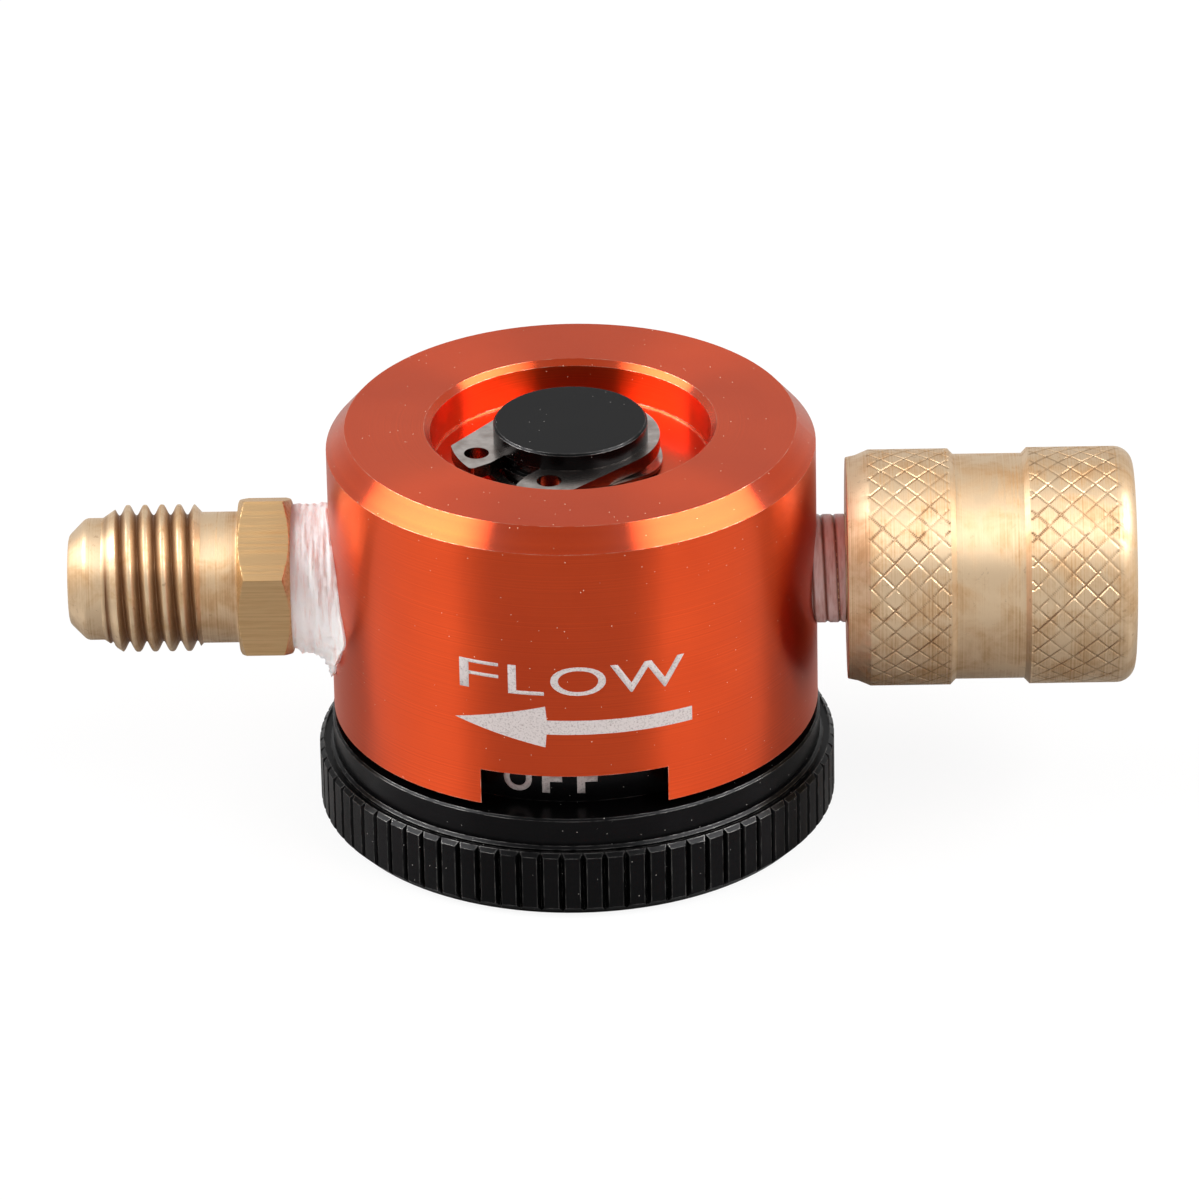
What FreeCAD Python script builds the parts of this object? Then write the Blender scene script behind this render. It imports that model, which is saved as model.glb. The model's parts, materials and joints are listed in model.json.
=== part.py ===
import FreeCAD, Part
import math
import os
import re
import Sketcher
from FreeCAD import Vector

# Nitrogen flow regulator with a rotary selector, in millimetres.
# Origin: centre of the dial's underside, on the spindle's axis. +Z is up along the spindle.
# The gas runs along X, in at +X through the swivel coupler and out at -X through the flare.
# The window in the skirt faces -Y.

SIZES = {
    # selector dial, from the table up
    "FlangeRadius": 19.4,
    "FlangeHeight": 5.3,
    "FlangeFootChamfer": 0.8,
    "FlangeLandChamfer": 0.3,
    "FlangeLandWidth": 0.05,
    "FlangeGrooveCount": 76,
    "FlangeGrooveWidth": 0.5,
    "FlangeGrooveDepth": 0.4,
    "FlangeGroovePhase": 1.6,
    "ShelfGrooveWidth": 0.5,
    "ShelfGrooveDepth": 0.2,
    "CollarHeight": 2.4,
    "CollarChamfer": 0.15,
    "CollarFootStep": 0.2,
    "DrumClearance": 0.4,
    "DrumChamfer": 0.3,
    "SpindleRadius": 5.73,
    "SpindleProud": 0.25,
    "SpindleChamfer": 0.15,
    # settings of the selector
    "SettingCount": 4,
    "SettingPitch": 45,
    "PassageRadius": 1.0,
    "JetRadius": 1.5,
    "JetLength": 2.2,
    "JetSetback": 0.4,
    "PurgeOrificeRadius": 0.5,
    "BrazeOrificeRadius": 0.25,
    # body
    "BodyRadius": 18.2,
    "BodyHeight": 22.85,
    "SkirtGap": 0.65,
    "SkirtWall": 2.3,
    "SkirtDepth": 3.65,
    "SkirtEdgeChamfer": 0.1,
    "BodyChamferWidth": 1.4,
    "BodyChamferDrop": 1.62,
    "WindowWidth": 13.8,
    "WindowHeight": 2.92,
    "CounterboreClearance": 1.5,
    "CounterboreDepth": 3.2,
    "CounterboreChamfer": 0.43,
    "SpindleClearance": 0.05,
    "BoreLeadChamfer": 0.5,
    "PortHeight": 6.75,
    "PortReach": 11.8,
    # retaining ring and wave washer on the spindle's end
    "RingThickness": 1.0,
    "RingGrooveDepth": 0.43,
    "RingSeatClearance": 0.05,
    "RingWidth": 1.05,
    "RingEccentricity": 0.35,
    "RingAzimuth": 229,
    "LugOuterRadius": 8.95,
    "LugStartAngle": 14,
    "LugEndAngle": 41,
    "LugTangentAngle": 84,
    "LugCornerRadius": 0.35,
    "LugInnerWall": 1.12,
    "LugOuterWall": 0.62,
    "LugHoleAngle": 29,
    "RingGapHalfWidth": 1.75,
    "WaveClearance": 0.27,
    "WaveWidth": 0.8,
    "WaveThickness": 0.3,
    "WaveHeight": 1.05,
    "WaveCount": 3,
    "WaveAzimuth": 300,
    "AxialPlay": 0.04,
    # seals of the spindle
    "SpindleRingSection": 0.56,
    "SpindleRingPlay": 0.02,
    "SpindleRingSideRoom": 0.39,
    "LowerRingHeight": 2.2,
    "UpperRingDepth": 3.0,
    # thrust washer
    "ThrustThickness": 0.4,
    "ThrustOuterRadius": 7.5,
    "ThrustClearance": 0.2,
    # click stop
    "BallRadius": 1.5,
    "BallClearance": 0.05,
    "BallGap": 0.2,
    "BallHoleDepth": 6.5,
    "TrackDepth": 0.8,
    "TrackClearance": 0.1,
    "DimpleDepth": 0.3,
    "ClickWireRadius": 0.15,
    "ClickCoilClearance": 0.2,
    "ClickTurns": 5,
    # travel stop
    "StopPinRadius": 1.0,
    "StopPinLength": 6.6,
    "StopPinInset": 2.9,
    "StopPinAzimuth": 60,
    "StopPinChamfer": 0.2,
    "StopSlotDepth": 1.6,
    "StopSlotClearance": 0.15,
    # seats at both ports
    "SeatRadius": 2.9,
    "SeatBoreRadius": 1.2,
    "SeatClearance": 0.05,
    "SeatRingSection": 0.6,
    "SeatRingEdge": 0.15,
    "SeatRingPlay": 0.02,
    # taper threads, radius gained for each millimetre of length
    "PipeTaper": 0.03125,
    # outlet fitting, from its inner end outwards
    "OutletTailRadius": 4.863,
    "OutletThroatRadius": 1.6,
    "OutletThroatLength": 4.0,
    "OutletBoreRadius": 2.4,
    "HexStandoff": 2.78,
    "HexWidth": 11.5,
    "HexLength": 3.96,
    "HexChamfer": 0.55,
    "HexTurn": 24.7,
    "ReliefRadius": 4.9,
    "ReliefLength": 2.78,
    "FlareThreadRadius": 5.5,
    "FlareThreadLength": 7.4,
    "FlareRunIn": 1.4,
    "FlareRunOut": 0.55,
    "FlareNeckRadius": 4.56,
    "FlareNeckLength": 1.28,
    "FlareNoseLength": 1.3,
    "FlareNoseRounding": 0.7,
    # inlet nipple
    "InletTailRadius": 3.7,
    "InletStandoff": 2.2,
    "InletNeckRadius": 3.85,
    "InletBoreRadius": 1.6,
    "InletHeadStep": 0.95,
    "InletHeadLength": 3.1,
    "InletHeadChamfer": 0.3,
    "InletSocketWidth": 4.0,
    "InletSocketDepth": 2.6,
    # coupler
    "CouplerRadius": 8.83,
    "CouplerRearDrop": 0.55,
    "CouplerRearLand": 0.75,
    "CouplerRearLandDrop": 0.4,
    "CouplerRearChamfer": 1.7,
    "CouplerBandLength": 7.6,
    "CouplerNeckDrop": 0.42,
    "CouplerShoulder": 0.45,
    "CouplerFrontBandLength": 6.4,
    "CouplerFrontRounding": 1.45,
    "CouplerRearWall": 7.0,
    "CouplerNeckClearance": 0.35,
    "CouplerPlay": 0.06,
    "CouplerChamberClearance": 0.2,
    "FemaleThreadRadius": 4.97,
    "FemaleThreadLength": 9.37,
    "FemaleThreadChamfer": 0.8,
    "GasketRadius": 5.6,
    "GasketBore": 1.8,
    "GasketThickness": 1.8,
    "GasketClearance": 0.15,
    # thread paste
    "PasteThicknessAtHex": 0.3,
    "PasteThicknessAtBody": 0.95,
    "PasteDepth": 1.5,
    "FilmThickness": 0.15,
    "FilmStart": 0.7,
}

# Levels, stations and radii that several pieces share, each worked out from the sizes above.
RULES = {
    # heights, from the table up
    "flangeTop": "FlangeHeight",
    "collarTop": "FlangeHeight + CollarHeight",
    "skirtBottom": "{collarTop} + SkirtGap",
    "ceiling": "{skirtBottom} + SkirtDepth",
    "bodyTop": "{skirtBottom} + BodyHeight",
    "counterFloor": "{bodyTop} - CounterboreDepth",
    "ringBottom": "{counterFloor} + WaveHeight + AxialPlay",
    "spindleTop": "{bodyTop} + SpindleProud",
    "drumTop": "{ceiling} - ThrustThickness - 2 * AxialPlay",
    "portLevel": "{ceiling} + PortHeight",
    "lowerRing": "{ceiling} + LowerRingHeight",
    "upperRing": "{counterFloor} - UpperRingDepth",
    # radii about the spindle
    "collarRadius": "FlangeRadius - FlangeLandChamfer - FlangeLandWidth - ShelfGrooveWidth - CollarFootStep",
    "skirtInner": "BodyRadius - SkirtWall",
    "drumRadius": "{skirtInner} - DrumClearance",
    "spindleBore": "SpindleRadius + SpindleClearance",
    "sealReach": "SpindleRadius + SpindleClearance / 2 - SpindleRingSection",
    "sealFloor": "{sealReach} - SpindleRingSection - SpindleRingPlay",
    "ringBore": "SpindleRadius - RingGrooveDepth + RingSeatClearance",
    "ringOuter": "{ringBore} + RingWidth",
    "lugHole": "(LugOuterRadius - {ringBore} - LugInnerWall - LugOuterWall) / 2",
    "lugHoleReach": "LugOuterRadius - LugOuterWall - {lugHole}",
    "lugSide": "LugOuterRadius - RingGapHalfWidth / sin(LugStartAngle * 1 deg)",
    "counterbore": "LugOuterRadius + CounterboreClearance",
    "waveInner": "SpindleRadius + WaveClearance",
    # ball, track and stop pin
    "ballReach": "ThrustOuterRadius + BallGap + BallRadius",
    "ballHole": "BallRadius + BallClearance",
    "ballHoleTop": "{ceiling} + BallHoleDepth",
    "ballCentre": "{drumTop} - TrackDepth + {ballHole}",
    "trackSection": "BallRadius + TrackClearance",
    "clickCoil": "BallRadius - ClickWireRadius - ClickCoilClearance",
    "stopPinReach": "{skirtInner} - StopPinInset",
    "stopPinBottom": "{drumTop} - StopSlotDepth + StopSlotClearance",
    # seats at the ports
    "seatPocket": "SeatRadius + SeatClearance",
    "seatRingReach": "SeatRadius - SeatRingSection - SeatRingEdge",
    # stations along the ports, and radii about them
    "hexEnd": "BodyRadius + HexStandoff",
    "reliefStart": "{hexEnd} + HexLength",
    "flareThreadStart": "{reliefStart} + ReliefLength",
    "flareThreadEnd": "{flareThreadStart} + FlareThreadLength",
    "couplerStart": "BodyRadius + InletStandoff",
    "chamberStart": "{couplerStart} + CouplerRearWall",
    "headStart": "{chamberStart} + CouplerPlay",
    "headEnd": "{headStart} + InletHeadLength",
    "gasketStart": "{headEnd} + CouplerPlay",
    "gasketEnd": "{gasketStart} + GasketThickness",
    "threadStart": "{gasketEnd} + CouplerPlay",
    "couplerEnd": "{threadStart} + FemaleThreadLength",
    "neckEnd": "{flareThreadEnd} + FlareNeckLength",
    "noseEnd": "{neckEnd} + FlareNoseLength",
    "noseRadius": "FlareNeckRadius - FlareNoseLength",
    "headRadius": "InletNeckRadius + InletHeadStep",
    "rearBore": "InletNeckRadius + CouplerNeckClearance",
    "couplerNeckRadius": "CouplerRadius - CouplerNeckDrop",
}
LEVELS = {}
for level, rule in RULES.items():
    LEVELS[level] = "(%s)" % rule.format(**LEVELS)

# Cross passages of the spindle: name, direction of the end that can hold a jet, and whether it does.
PASSAGES = (
    ("Purge", "-SettingPitch", True),
    ("Braze", "180 - 2 * SettingPitch", True),
    ("Test", "-3 * SettingPitch", False),
)

WORDS = re.compile("|".join(r"\b%s\b" % name for name in SIZES))


def text(expression):
    """An expression with its levels written out, for one of this document's objects."""
    return WORDS.sub(lambda word: "Sizes." + word.group(0), str(expression).format(**LEVELS))


def number(expression):
    """The same expression worked out from the sheet."""
    return float(sheet.evalExpression(str(expression).format(**LEVELS)))


def fill_sheet():
    for row, (alias, value) in enumerate(SIZES.items(), start=1):
        sheet.set("A%d" % row, alias)
        sheet.set("B%d" % row, str(value))
        sheet.setAlias("B%d" % row, alias)
    document.recompute()


def new_body(label):
    body = document.addObject("PartDesign::Body", label)
    body.Label = label
    parts.append(body)
    return body


def origin_item(body, role):
    return [item for item in body.Origin.OriginFeatures if item.Role == role][0]


def placed(x="0", y="0", z="0", turn="0", about="0; 0; 1"):
    """A placement as an expression: moved by x, y and z and turned about an axis."""
    move = "vector(%s; %s; %s)" % (x, y, z)
    return text("placement(%s; rotation(vector(%s); %s))" % (move, about, turn))


def new_sketch(body, name, plane, **offset):
    """A sketch on one of the body's own planes, offset in that plane's own directions."""
    sketch = body.newObject("Sketcher::SketchObject", name)
    sketch.AttachmentSupport = (origin_item(body, plane), [""])
    sketch.MapMode = "FlatFace"
    if offset:
        sketch.setExpression("AttachmentOffset", placed(**offset))
    return sketch


def place_point(sketch, item, end, x, y):
    """Dimension one point of a sketch from the sketch's origin."""
    for kind, expression, axis in (("DistanceX", x, -2), ("DistanceY", y, -1)):
        if str(expression) == "0":
            sketch.addConstraint(Sketcher.Constraint("PointOnObject", item, end, axis))
            continue
        index = sketch.addConstraint(
            Sketcher.Constraint(kind, -1, 1, item, end, number(expression))
        )
        sketch.setExpression("Constraints[%d]" % index, text(expression))


def add_outline(sketch, corners):
    """A closed outline of straight lines through dimensioned corners."""
    points = [Vector(number(x), number(y), 0) for x, y in corners]
    first = sketch.GeometryCount
    count = len(corners)
    for n in range(count):
        sketch.addGeometry(Part.LineSegment(points[n], points[(n + 1) % count]))
    for n in range(count):
        following = first + (n + 1) % count
        sketch.addConstraint(Sketcher.Constraint("Coincident", first + n, 2, following, 1))
    for n, (x, y) in enumerate(corners):
        place_point(sketch, first + n, 1, x, y)


def add_circle(sketch, x, y, radius):
    """A circle whose centre and radius are dimensioned."""
    centre = Vector(number(x), number(y), 0)
    item = sketch.addGeometry(Part.Circle(centre, Vector(0, 0, 1), number(radius)))
    if str(x) == "0" and str(y) == "0":
        sketch.addConstraint(Sketcher.Constraint("Coincident", item, 3, -1, 1))
    else:
        place_point(sketch, item, 3, x, y)
    index = sketch.addConstraint(Sketcher.Constraint("Radius", item, number(radius)))
    sketch.setExpression("Constraints[%d]" % index, text(radius))


def revolve(body, sketch, axis, kind="PartDesign::Revolution", angle=None):
    """A full or partial turn of a sketch about its own horizontal or vertical axis."""
    feature = body.newObject(kind, sketch.Name + "Turned")
    feature.Profile = sketch
    feature.ReferenceAxis = (sketch, [axis])
    feature.Angle = 360
    if angle is not None:
        feature.setExpression("Angle", text(angle))
    return feature


def pad(body, sketch, length):
    feature = body.newObject("PartDesign::Pad", sketch.Name + "Pad")
    feature.Profile = sketch
    feature.setExpression("Length", text(length))
    return feature


def pocket(body, sketch, length=None, reverse=False):
    """A pocket of the given length, or through all where none is given."""
    feature = body.newObject("PartDesign::Pocket", sketch.Name + "Pocket")
    feature.Profile = sketch
    feature.Reversed = reverse
    if length is None:
        feature.Type = "ThroughAll"
    else:
        feature.setExpression("Length", text(length))
    return feature


def turned_about_z(label, name, corners):
    """A piece turned about the spindle's axis, from corners of (radius, height)."""
    body = new_body(label)
    sketch = new_sketch(body, name, "XZ_Plane")
    add_outline(sketch, corners)
    revolve(body, sketch, "V_Axis")
    return body


def turned_about_x(label, name, corners):
    """A piece turned about the ports' axis, from corners of (station, radius)."""
    body = new_body(label)
    sketch = new_sketch(body, name, "XZ_Plane", y="{portLevel}")
    add_outline(sketch, corners)
    revolve(body, sketch, "H_Axis")
    return body


def polar_pattern(body, features, count, angle=None, reverse=False):
    """Copies about the vertical axis, over the whole turn or over the given angle."""
    pattern = body.newObject("PartDesign::PolarPattern", features[0].Name + "Pattern")
    pattern.Originals = features
    pattern.Axis = (origin_item(body, "Z_Axis"), [""])
    pattern.Reversed = reverse
    pattern.Angle = 360
    if angle is not None:
        pattern.setExpression("Angle", text(angle))
    pattern.setExpression("Occurrences", text(count))
    body.Tip = pattern


def polar(reach, angle):
    """The x and y of a point given by its distance and direction."""
    return "%s * cos(%s * 1 deg)" % (reach, angle), "%s * sin(%s * 1 deg)" % (reach, angle)


def round_edges(body, name, last, wanted, radius):
    """Rounds those edges of the body's last feature for which wanted gives true."""
    document.recompute()
    fillet = body.newObject("PartDesign::Fillet", name)
    fillet.Base = (last, ["Edge%d" % n for n, edge in enumerate(last.Shape.Edges, start=1) if wanted(edge)])
    fillet.setExpression("Radius", text(radius))


def is_ring(edge, station, radius):
    """Whether an edge is the circle about the ports' axis at a station."""
    flat = math.isclose(edge.BoundBox.XMin, edge.BoundBox.XMax, abs_tol=1e-4)
    there = math.isclose(edge.CenterOfMass.x, station, abs_tol=1e-4)
    return flat and there and math.isclose(edge.Length, 2 * math.pi * radius, rel_tol=1e-4)


def on_taper(tail, station):
    """Radius of a taper thread at a station, from the radius of its inner end."""
    return "(%s + PipeTaper * (%s - PortReach))" % (tail, station)


def hexagon(width, turn):
    """Corners of a regular hexagon of the given width across flats, its first corner at turn."""
    reach = "(%s / 2 / cos(30 deg))" % width
    return [polar(reach, "(%s + %d)" % (turn, 60 * n)) for n in range(6)]


def make_body():
    body = turned_about_z("body", "BodySection", [
        ("{spindleBore} + BoreLeadChamfer", "{ceiling}"),
        ("{skirtInner}", "{ceiling}"),
        ("{skirtInner}", "{skirtBottom}"),
        ("BodyRadius - SkirtEdgeChamfer", "{skirtBottom}"),
        ("BodyRadius", "{skirtBottom} + SkirtEdgeChamfer"),
        ("BodyRadius", "{bodyTop} - BodyChamferDrop"),
        ("BodyRadius - BodyChamferWidth", "{bodyTop}"),
        ("{counterbore} + CounterboreChamfer", "{bodyTop}"),
        ("{counterbore}", "{bodyTop} - CounterboreChamfer"),
        ("{counterbore}", "{counterFloor}"),
        ("{spindleBore}", "{counterFloor}"),
        ("{spindleBore}", "{ceiling} + BoreLeadChamfer"),
    ])
    window = new_sketch(body, "Window", "XZ_Plane")
    add_outline(window, [
        ("-WindowWidth / 2", "{skirtBottom} - SkirtGap"),
        ("WindowWidth / 2", "{skirtBottom} - SkirtGap"),
        ("WindowWidth / 2", "{skirtBottom} + WindowHeight"),
        ("-WindowWidth / 2", "{skirtBottom} + WindowHeight"),
    ])
    pocket(body, window, length="2 * BodyRadius", reverse=True)
    # each port: a seat pocket from the spindle's bore, then the taper thread out through the skin
    for name, side, tail in (("Inlet", "", "InletTailRadius"), ("Outlet", "-", "OutletTailRadius")):
        port = new_sketch(body, name + "Port", "XZ_Plane", y="{portLevel}")
        add_outline(port, [
            ("0", "0"),
            (side + "2 * BodyRadius", "0"),
            (side + "2 * BodyRadius", on_taper(tail, "2 * BodyRadius")),
            (side + "PortReach", tail),
            (side + "PortReach", "{seatPocket}"),
            ("0", "{seatPocket}"),
        ])
        revolve(body, port, "H_Axis", kind="PartDesign::Groove")
    ball_hole = new_sketch(body, "BallHole", "XY_Plane", z="{ceiling}")
    add_circle(ball_hole, "0", "{ballReach}", "{ballHole}")
    pocket(body, ball_hole, length="BallHoleDepth", reverse=True)
    pin_hole = new_sketch(body, "StopPinHole", "XY_Plane", z="{ceiling}")
    add_circle(pin_hole, *polar("{stopPinReach}", "StopPinAzimuth"), "StopPinRadius")
    pocket(body, pin_hole, length="StopPinLength - ({ceiling} - {stopPinBottom})", reverse=True)


def spindle_groove(level):
    """Corners of one seal groove, going up the spindle."""
    low = level + " - SpindleRingSection - SpindleRingSideRoom"
    high = level + " + SpindleRingSection + SpindleRingSideRoom"
    return [("SpindleRadius", low), ("{sealFloor}", low), ("{sealFloor}", high), ("SpindleRadius", high)]


def make_selector_dial():
    shelf = "{flangeTop} - ShelfGrooveDepth"
    land = "FlangeRadius - FlangeLandChamfer - FlangeLandWidth"
    ring_floor = "SpindleRadius - RingGrooveDepth"
    ring_low = "{ringBottom} - AxialPlay / 2"
    ring_high = "{ringBottom} + RingThickness + AxialPlay / 2"
    dial = turned_about_z("selector_dial", "DialSection", [
        ("0", "0"),
        ("FlangeRadius - FlangeFootChamfer", "0"),
        ("FlangeRadius", "FlangeFootChamfer"),
        ("FlangeRadius", "{flangeTop} - FlangeLandChamfer"),
        ("FlangeRadius - FlangeLandChamfer", "{flangeTop}"),
        (land, "{flangeTop}"),
        (land, shelf),
        ("{collarRadius} + CollarFootStep", shelf),
        ("{collarRadius} + CollarFootStep", "{flangeTop}"),
        ("{collarRadius}", "{flangeTop} + CollarFootStep"),
        ("{collarRadius}", "{collarTop} - CollarChamfer"),
        ("{collarRadius} - CollarChamfer", "{collarTop}"),
        ("{drumRadius}", "{collarTop}"),
        ("{drumRadius}", "{drumTop} - DrumChamfer"),
        ("{drumRadius} - DrumChamfer", "{drumTop}"),
        ("SpindleRadius", "{drumTop}"),
    ] + spindle_groove("{lowerRing}") + spindle_groove("{upperRing}") + [
        ("SpindleRadius", ring_low),
        (ring_floor, ring_low),
        (ring_floor, ring_high),
        ("SpindleRadius", ring_high),
        ("SpindleRadius", "{spindleTop} - SpindleChamfer"),
        ("SpindleRadius - SpindleChamfer", "{spindleTop}"),
        ("0", "{spindleTop}"),
    ])
    # V-grooves of the grip, cut straight through the flange. The V is drawn to twice its depth,
    # where half of it is as wide as the whole groove is at the rim.
    groove = new_sketch(dial, "GripGroove", "XY_Plane", turn="FlangeGroovePhase")
    add_outline(groove, [
        ("FlangeRadius - FlangeGrooveDepth", "0"),
        ("FlangeRadius + FlangeGrooveDepth", "-FlangeGrooveWidth"),
        ("FlangeRadius + FlangeGrooveDepth", "FlangeGrooveWidth"),
    ])
    grip = pocket(dial, groove, length="FlangeHeight", reverse=True)
    polar_pattern(dial, [grip], "FlangeGrooveCount")
    # ball track, with a dimple at each setting
    track = new_sketch(dial, "BallTrack", "XZ_Plane")
    add_circle(track, "{ballReach}", "{drumTop} - TrackDepth + {trackSection}", "{trackSection}")
    revolve(dial, track, "V_Axis", kind="PartDesign::Groove")
    dimple = dial.newObject("PartDesign::SubtractiveSphere", "Dimple")
    dimple.AttachmentSupport = (origin_item(dial, "XY_Plane"), [""])
    dimple.MapMode = "FlatFace"
    dimple.setExpression("Radius", text("{ballHole}"))
    dimple.setExpression("AttachmentOffset", placed(
        y="{ballReach}", z="{ballCentre} - DimpleDepth"))
    polar_pattern(dial, [dimple], "SettingCount", "SettingPitch * (SettingCount - 1)", reverse=True)
    # arc slot of the travel stop: a part turn, then a round end at each limit
    travel = "SettingPitch * (SettingCount - 1)"
    half_width = "(StopPinRadius + StopSlotClearance)"
    slot = new_sketch(dial, "StopSlot", "XZ_Plane",
                      turn="StopPinAzimuth - %s" % travel, about="0; 1; 0")
    add_outline(slot, [
        ("{stopPinReach} - " + half_width, "{drumTop} - StopSlotDepth"),
        ("{stopPinReach} + " + half_width, "{drumTop} - StopSlotDepth"),
        ("{stopPinReach} + " + half_width, "{drumTop} + StopSlotDepth"),
        ("{stopPinReach} - " + half_width, "{drumTop} + StopSlotDepth"),
    ])
    revolve(dial, slot, "V_Axis", kind="PartDesign::Groove", angle=travel)
    last = "(StopPinAzimuth - %s)" % travel
    for name, azimuth in (("SlotEndFirst", "StopPinAzimuth"), ("SlotEndLast", last)):
        end = new_sketch(dial, name, "XY_Plane", z="{drumTop}")
        add_circle(end, *polar("{stopPinReach}", azimuth), half_width)
        pocket(dial, end, length="StopSlotDepth")
    # cross passages: each lines up with the ports at its own setting, and the first setting is blank
    for name, turn, has_jet in PASSAGES:
        passage = new_sketch(dial, name + "Passage", "XY_Plane", z="{portLevel}", turn=turn)
        corners = [("-2 * SpindleRadius", "0"), ("2 * SpindleRadius", "0")]
        if has_jet:
            corners += [
                ("2 * SpindleRadius", "JetRadius"),
                ("SpindleRadius - JetSetback - JetLength", "JetRadius"),
                ("SpindleRadius - JetSetback - JetLength", "PassageRadius"),
            ]
        else:
            corners += [("2 * SpindleRadius", "PassageRadius")]
        corners += [("-2 * SpindleRadius", "PassageRadius")]
        add_outline(passage, corners)
        revolve(dial, passage, "H_Axis", kind="PartDesign::Groove")


def make_jets():
    """Metering jets, pressed into the PURGE and BRAZE passages below the spindle's surface."""
    inner = "SpindleRadius - JetSetback - JetLength"
    outer = "SpindleRadius - JetSetback"
    for name, turn, has_jet in PASSAGES:
        if not has_jet:
            continue
        orifice = name + "OrificeRadius"
        jet = new_body(name.lower() + "_jet")
        sketch = new_sketch(jet, name + "Jet", "XY_Plane", z="{portLevel}", turn=turn)
        add_outline(sketch, [
            (inner, orifice),
            (outer + " - JetLength / 2", orifice),
            (outer, "JetRadius / 2"),
            (outer, "JetRadius"),
            (inner, "JetRadius"),
        ])
        revolve(jet, sketch, "H_Axis")


def make_retaining_ring():
    """External ring with two lugs. It is drawn with its gap towards +X and then turned."""
    ring = new_body("retaining_ring")
    rim = new_sketch(ring, "RingRim", "XY_Plane")
    add_circle(rim, "-RingEccentricity", "0", "{ringOuter}")
    pad(ring, rim, "RingThickness")
    lug = new_sketch(ring, "RingLug", "XY_Plane")
    flank_x, flank_y = polar("{ringOuter}", "LugTangentAngle")
    add_outline(lug, [
        ("0", "0"),
        polar("2 * LugOuterRadius", "LugStartAngle"),
        polar("LugOuterRadius", "LugEndAngle"),
        (flank_x + " - RingEccentricity", flank_y),
    ])
    lug_pad = pad(ring, lug, "RingThickness")
    mirrored = ring.newObject("PartDesign::Mirrored", "SecondLug")
    mirrored.Originals = [lug_pad]
    mirrored.MirrorPlane = (origin_item(ring, "XZ_Plane"), [""])
    ring.Tip = mirrored
    trim = new_sketch(ring, "LugTrim", "XY_Plane")
    add_circle(trim, "0", "0", "3 * LugOuterRadius")
    add_circle(trim, "0", "0", "LugOuterRadius")
    pocket(ring, trim, reverse=True)
    bore = new_sketch(ring, "RingBoreCut", "XY_Plane")
    add_circle(bore, "0", "0", "{ringBore}")
    pocket(ring, bore, reverse=True)
    gap = new_sketch(ring, "RingGap", "XY_Plane")
    add_outline(gap, [
        ("0", "-RingGapHalfWidth"),
        ("2 * LugOuterRadius", "-RingGapHalfWidth"),
        ("2 * LugOuterRadius", "RingGapHalfWidth"),
        ("0", "RingGapHalfWidth"),
    ])
    pocket(ring, gap, reverse=True)
    holes = new_sketch(ring, "LugHoles", "XY_Plane")
    for side in ("", "-"):
        add_circle(holes, *polar("{lugHoleReach}", side + "LugHoleAngle"), "{lugHole}")
    last = pocket(ring, holes, reverse=True)

    def is_lug_corner(edge):
        upright = math.isclose(edge.BoundBox.ZLength, edge.Length, rel_tol=1e-6)
        reach = math.hypot(edge.CenterOfMass.x, edge.CenterOfMass.y)
        return upright and math.isclose(reach, number("LugOuterRadius"), rel_tol=1e-6)

    # a third of the lug's own side at most
    round_edges(ring, "LugCorners", last, is_lug_corner, "min(LugCornerRadius; {lugSide} / 3)")
    ring.setExpression("Placement", placed(z="{ringBottom}", turn="RingAzimuth"))


def wave_curve(radius, level):
    """One closed edge of the wave washer."""
    count = int(number("WaveCount"))
    swing = number("(WaveHeight - WaveThickness) / 2")
    first_crest = math.radians(number("WaveAzimuth"))
    points = []
    for n in range(12 * count):
        angle = 2 * math.pi * n / (12 * count)
        height = level + swing * math.cos(count * (angle - first_crest))
        points.append(Vector(radius * math.cos(angle), radius * math.sin(angle), height))
    curve = Part.BSplineCurve()
    curve.interpolate(Points=points, PeriodicFlag=True)
    return curve.toShape()


def make_wave_washer():
    """Thin ring with even waves, closed from four ruled faces."""
    washer = document.addObject("Part::Feature", "wave_washer")
    washer.Label = "wave_washer"
    parts.append(washer)
    low = number("{counterFloor} + (WaveHeight - WaveThickness) / 2")
    high = low + number("WaveThickness")
    inner, outer = number("{waveInner}"), number("{waveInner} + WaveWidth")
    ring = [wave_curve(inner, low), wave_curve(outer, low), wave_curve(outer, high), wave_curve(inner, high)]
    faces = [Part.makeRuledSurface(ring[n], ring[(n + 1) % 4]) for n in range(4)]
    shell = Part.makeShell([face for ruled in faces for face in ruled.Faces])
    shell.sewShape()
    solid = Part.makeSolid(shell)
    if solid.Volume < 0:
        solid.reverse()
    washer.Shape = solid


def add_torus(label, reach, section, placement):
    """A seal ring, drawn at the section it has once it is squeezed into its groove."""
    ring = document.addObject("Part::Torus", label)
    ring.Label = label
    ring.setExpression("Radius1", text(reach))
    ring.setExpression("Radius2", text(section))
    ring.setExpression("Placement", placement)
    parts.append(ring)


def make_seal_rings():
    add_torus("lower_o_ring", "{sealReach}", "SpindleRingSection", placed(z="{lowerRing}"))
    add_torus("upper_o_ring", "{sealReach}", "SpindleRingSection", placed(z="{upperRing}"))
    for label, side in (("inlet_seat_ring", ""), ("outlet_seat_ring", "-")):
        station = side + "(PortReach - SeatRingSection - SeatRingPlay)"
        add_torus(label, "{seatRingReach}", "SeatRingSection",
                  placed(x=station, z="{portLevel}", turn="90", about="0; 1; 0"))


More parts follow.
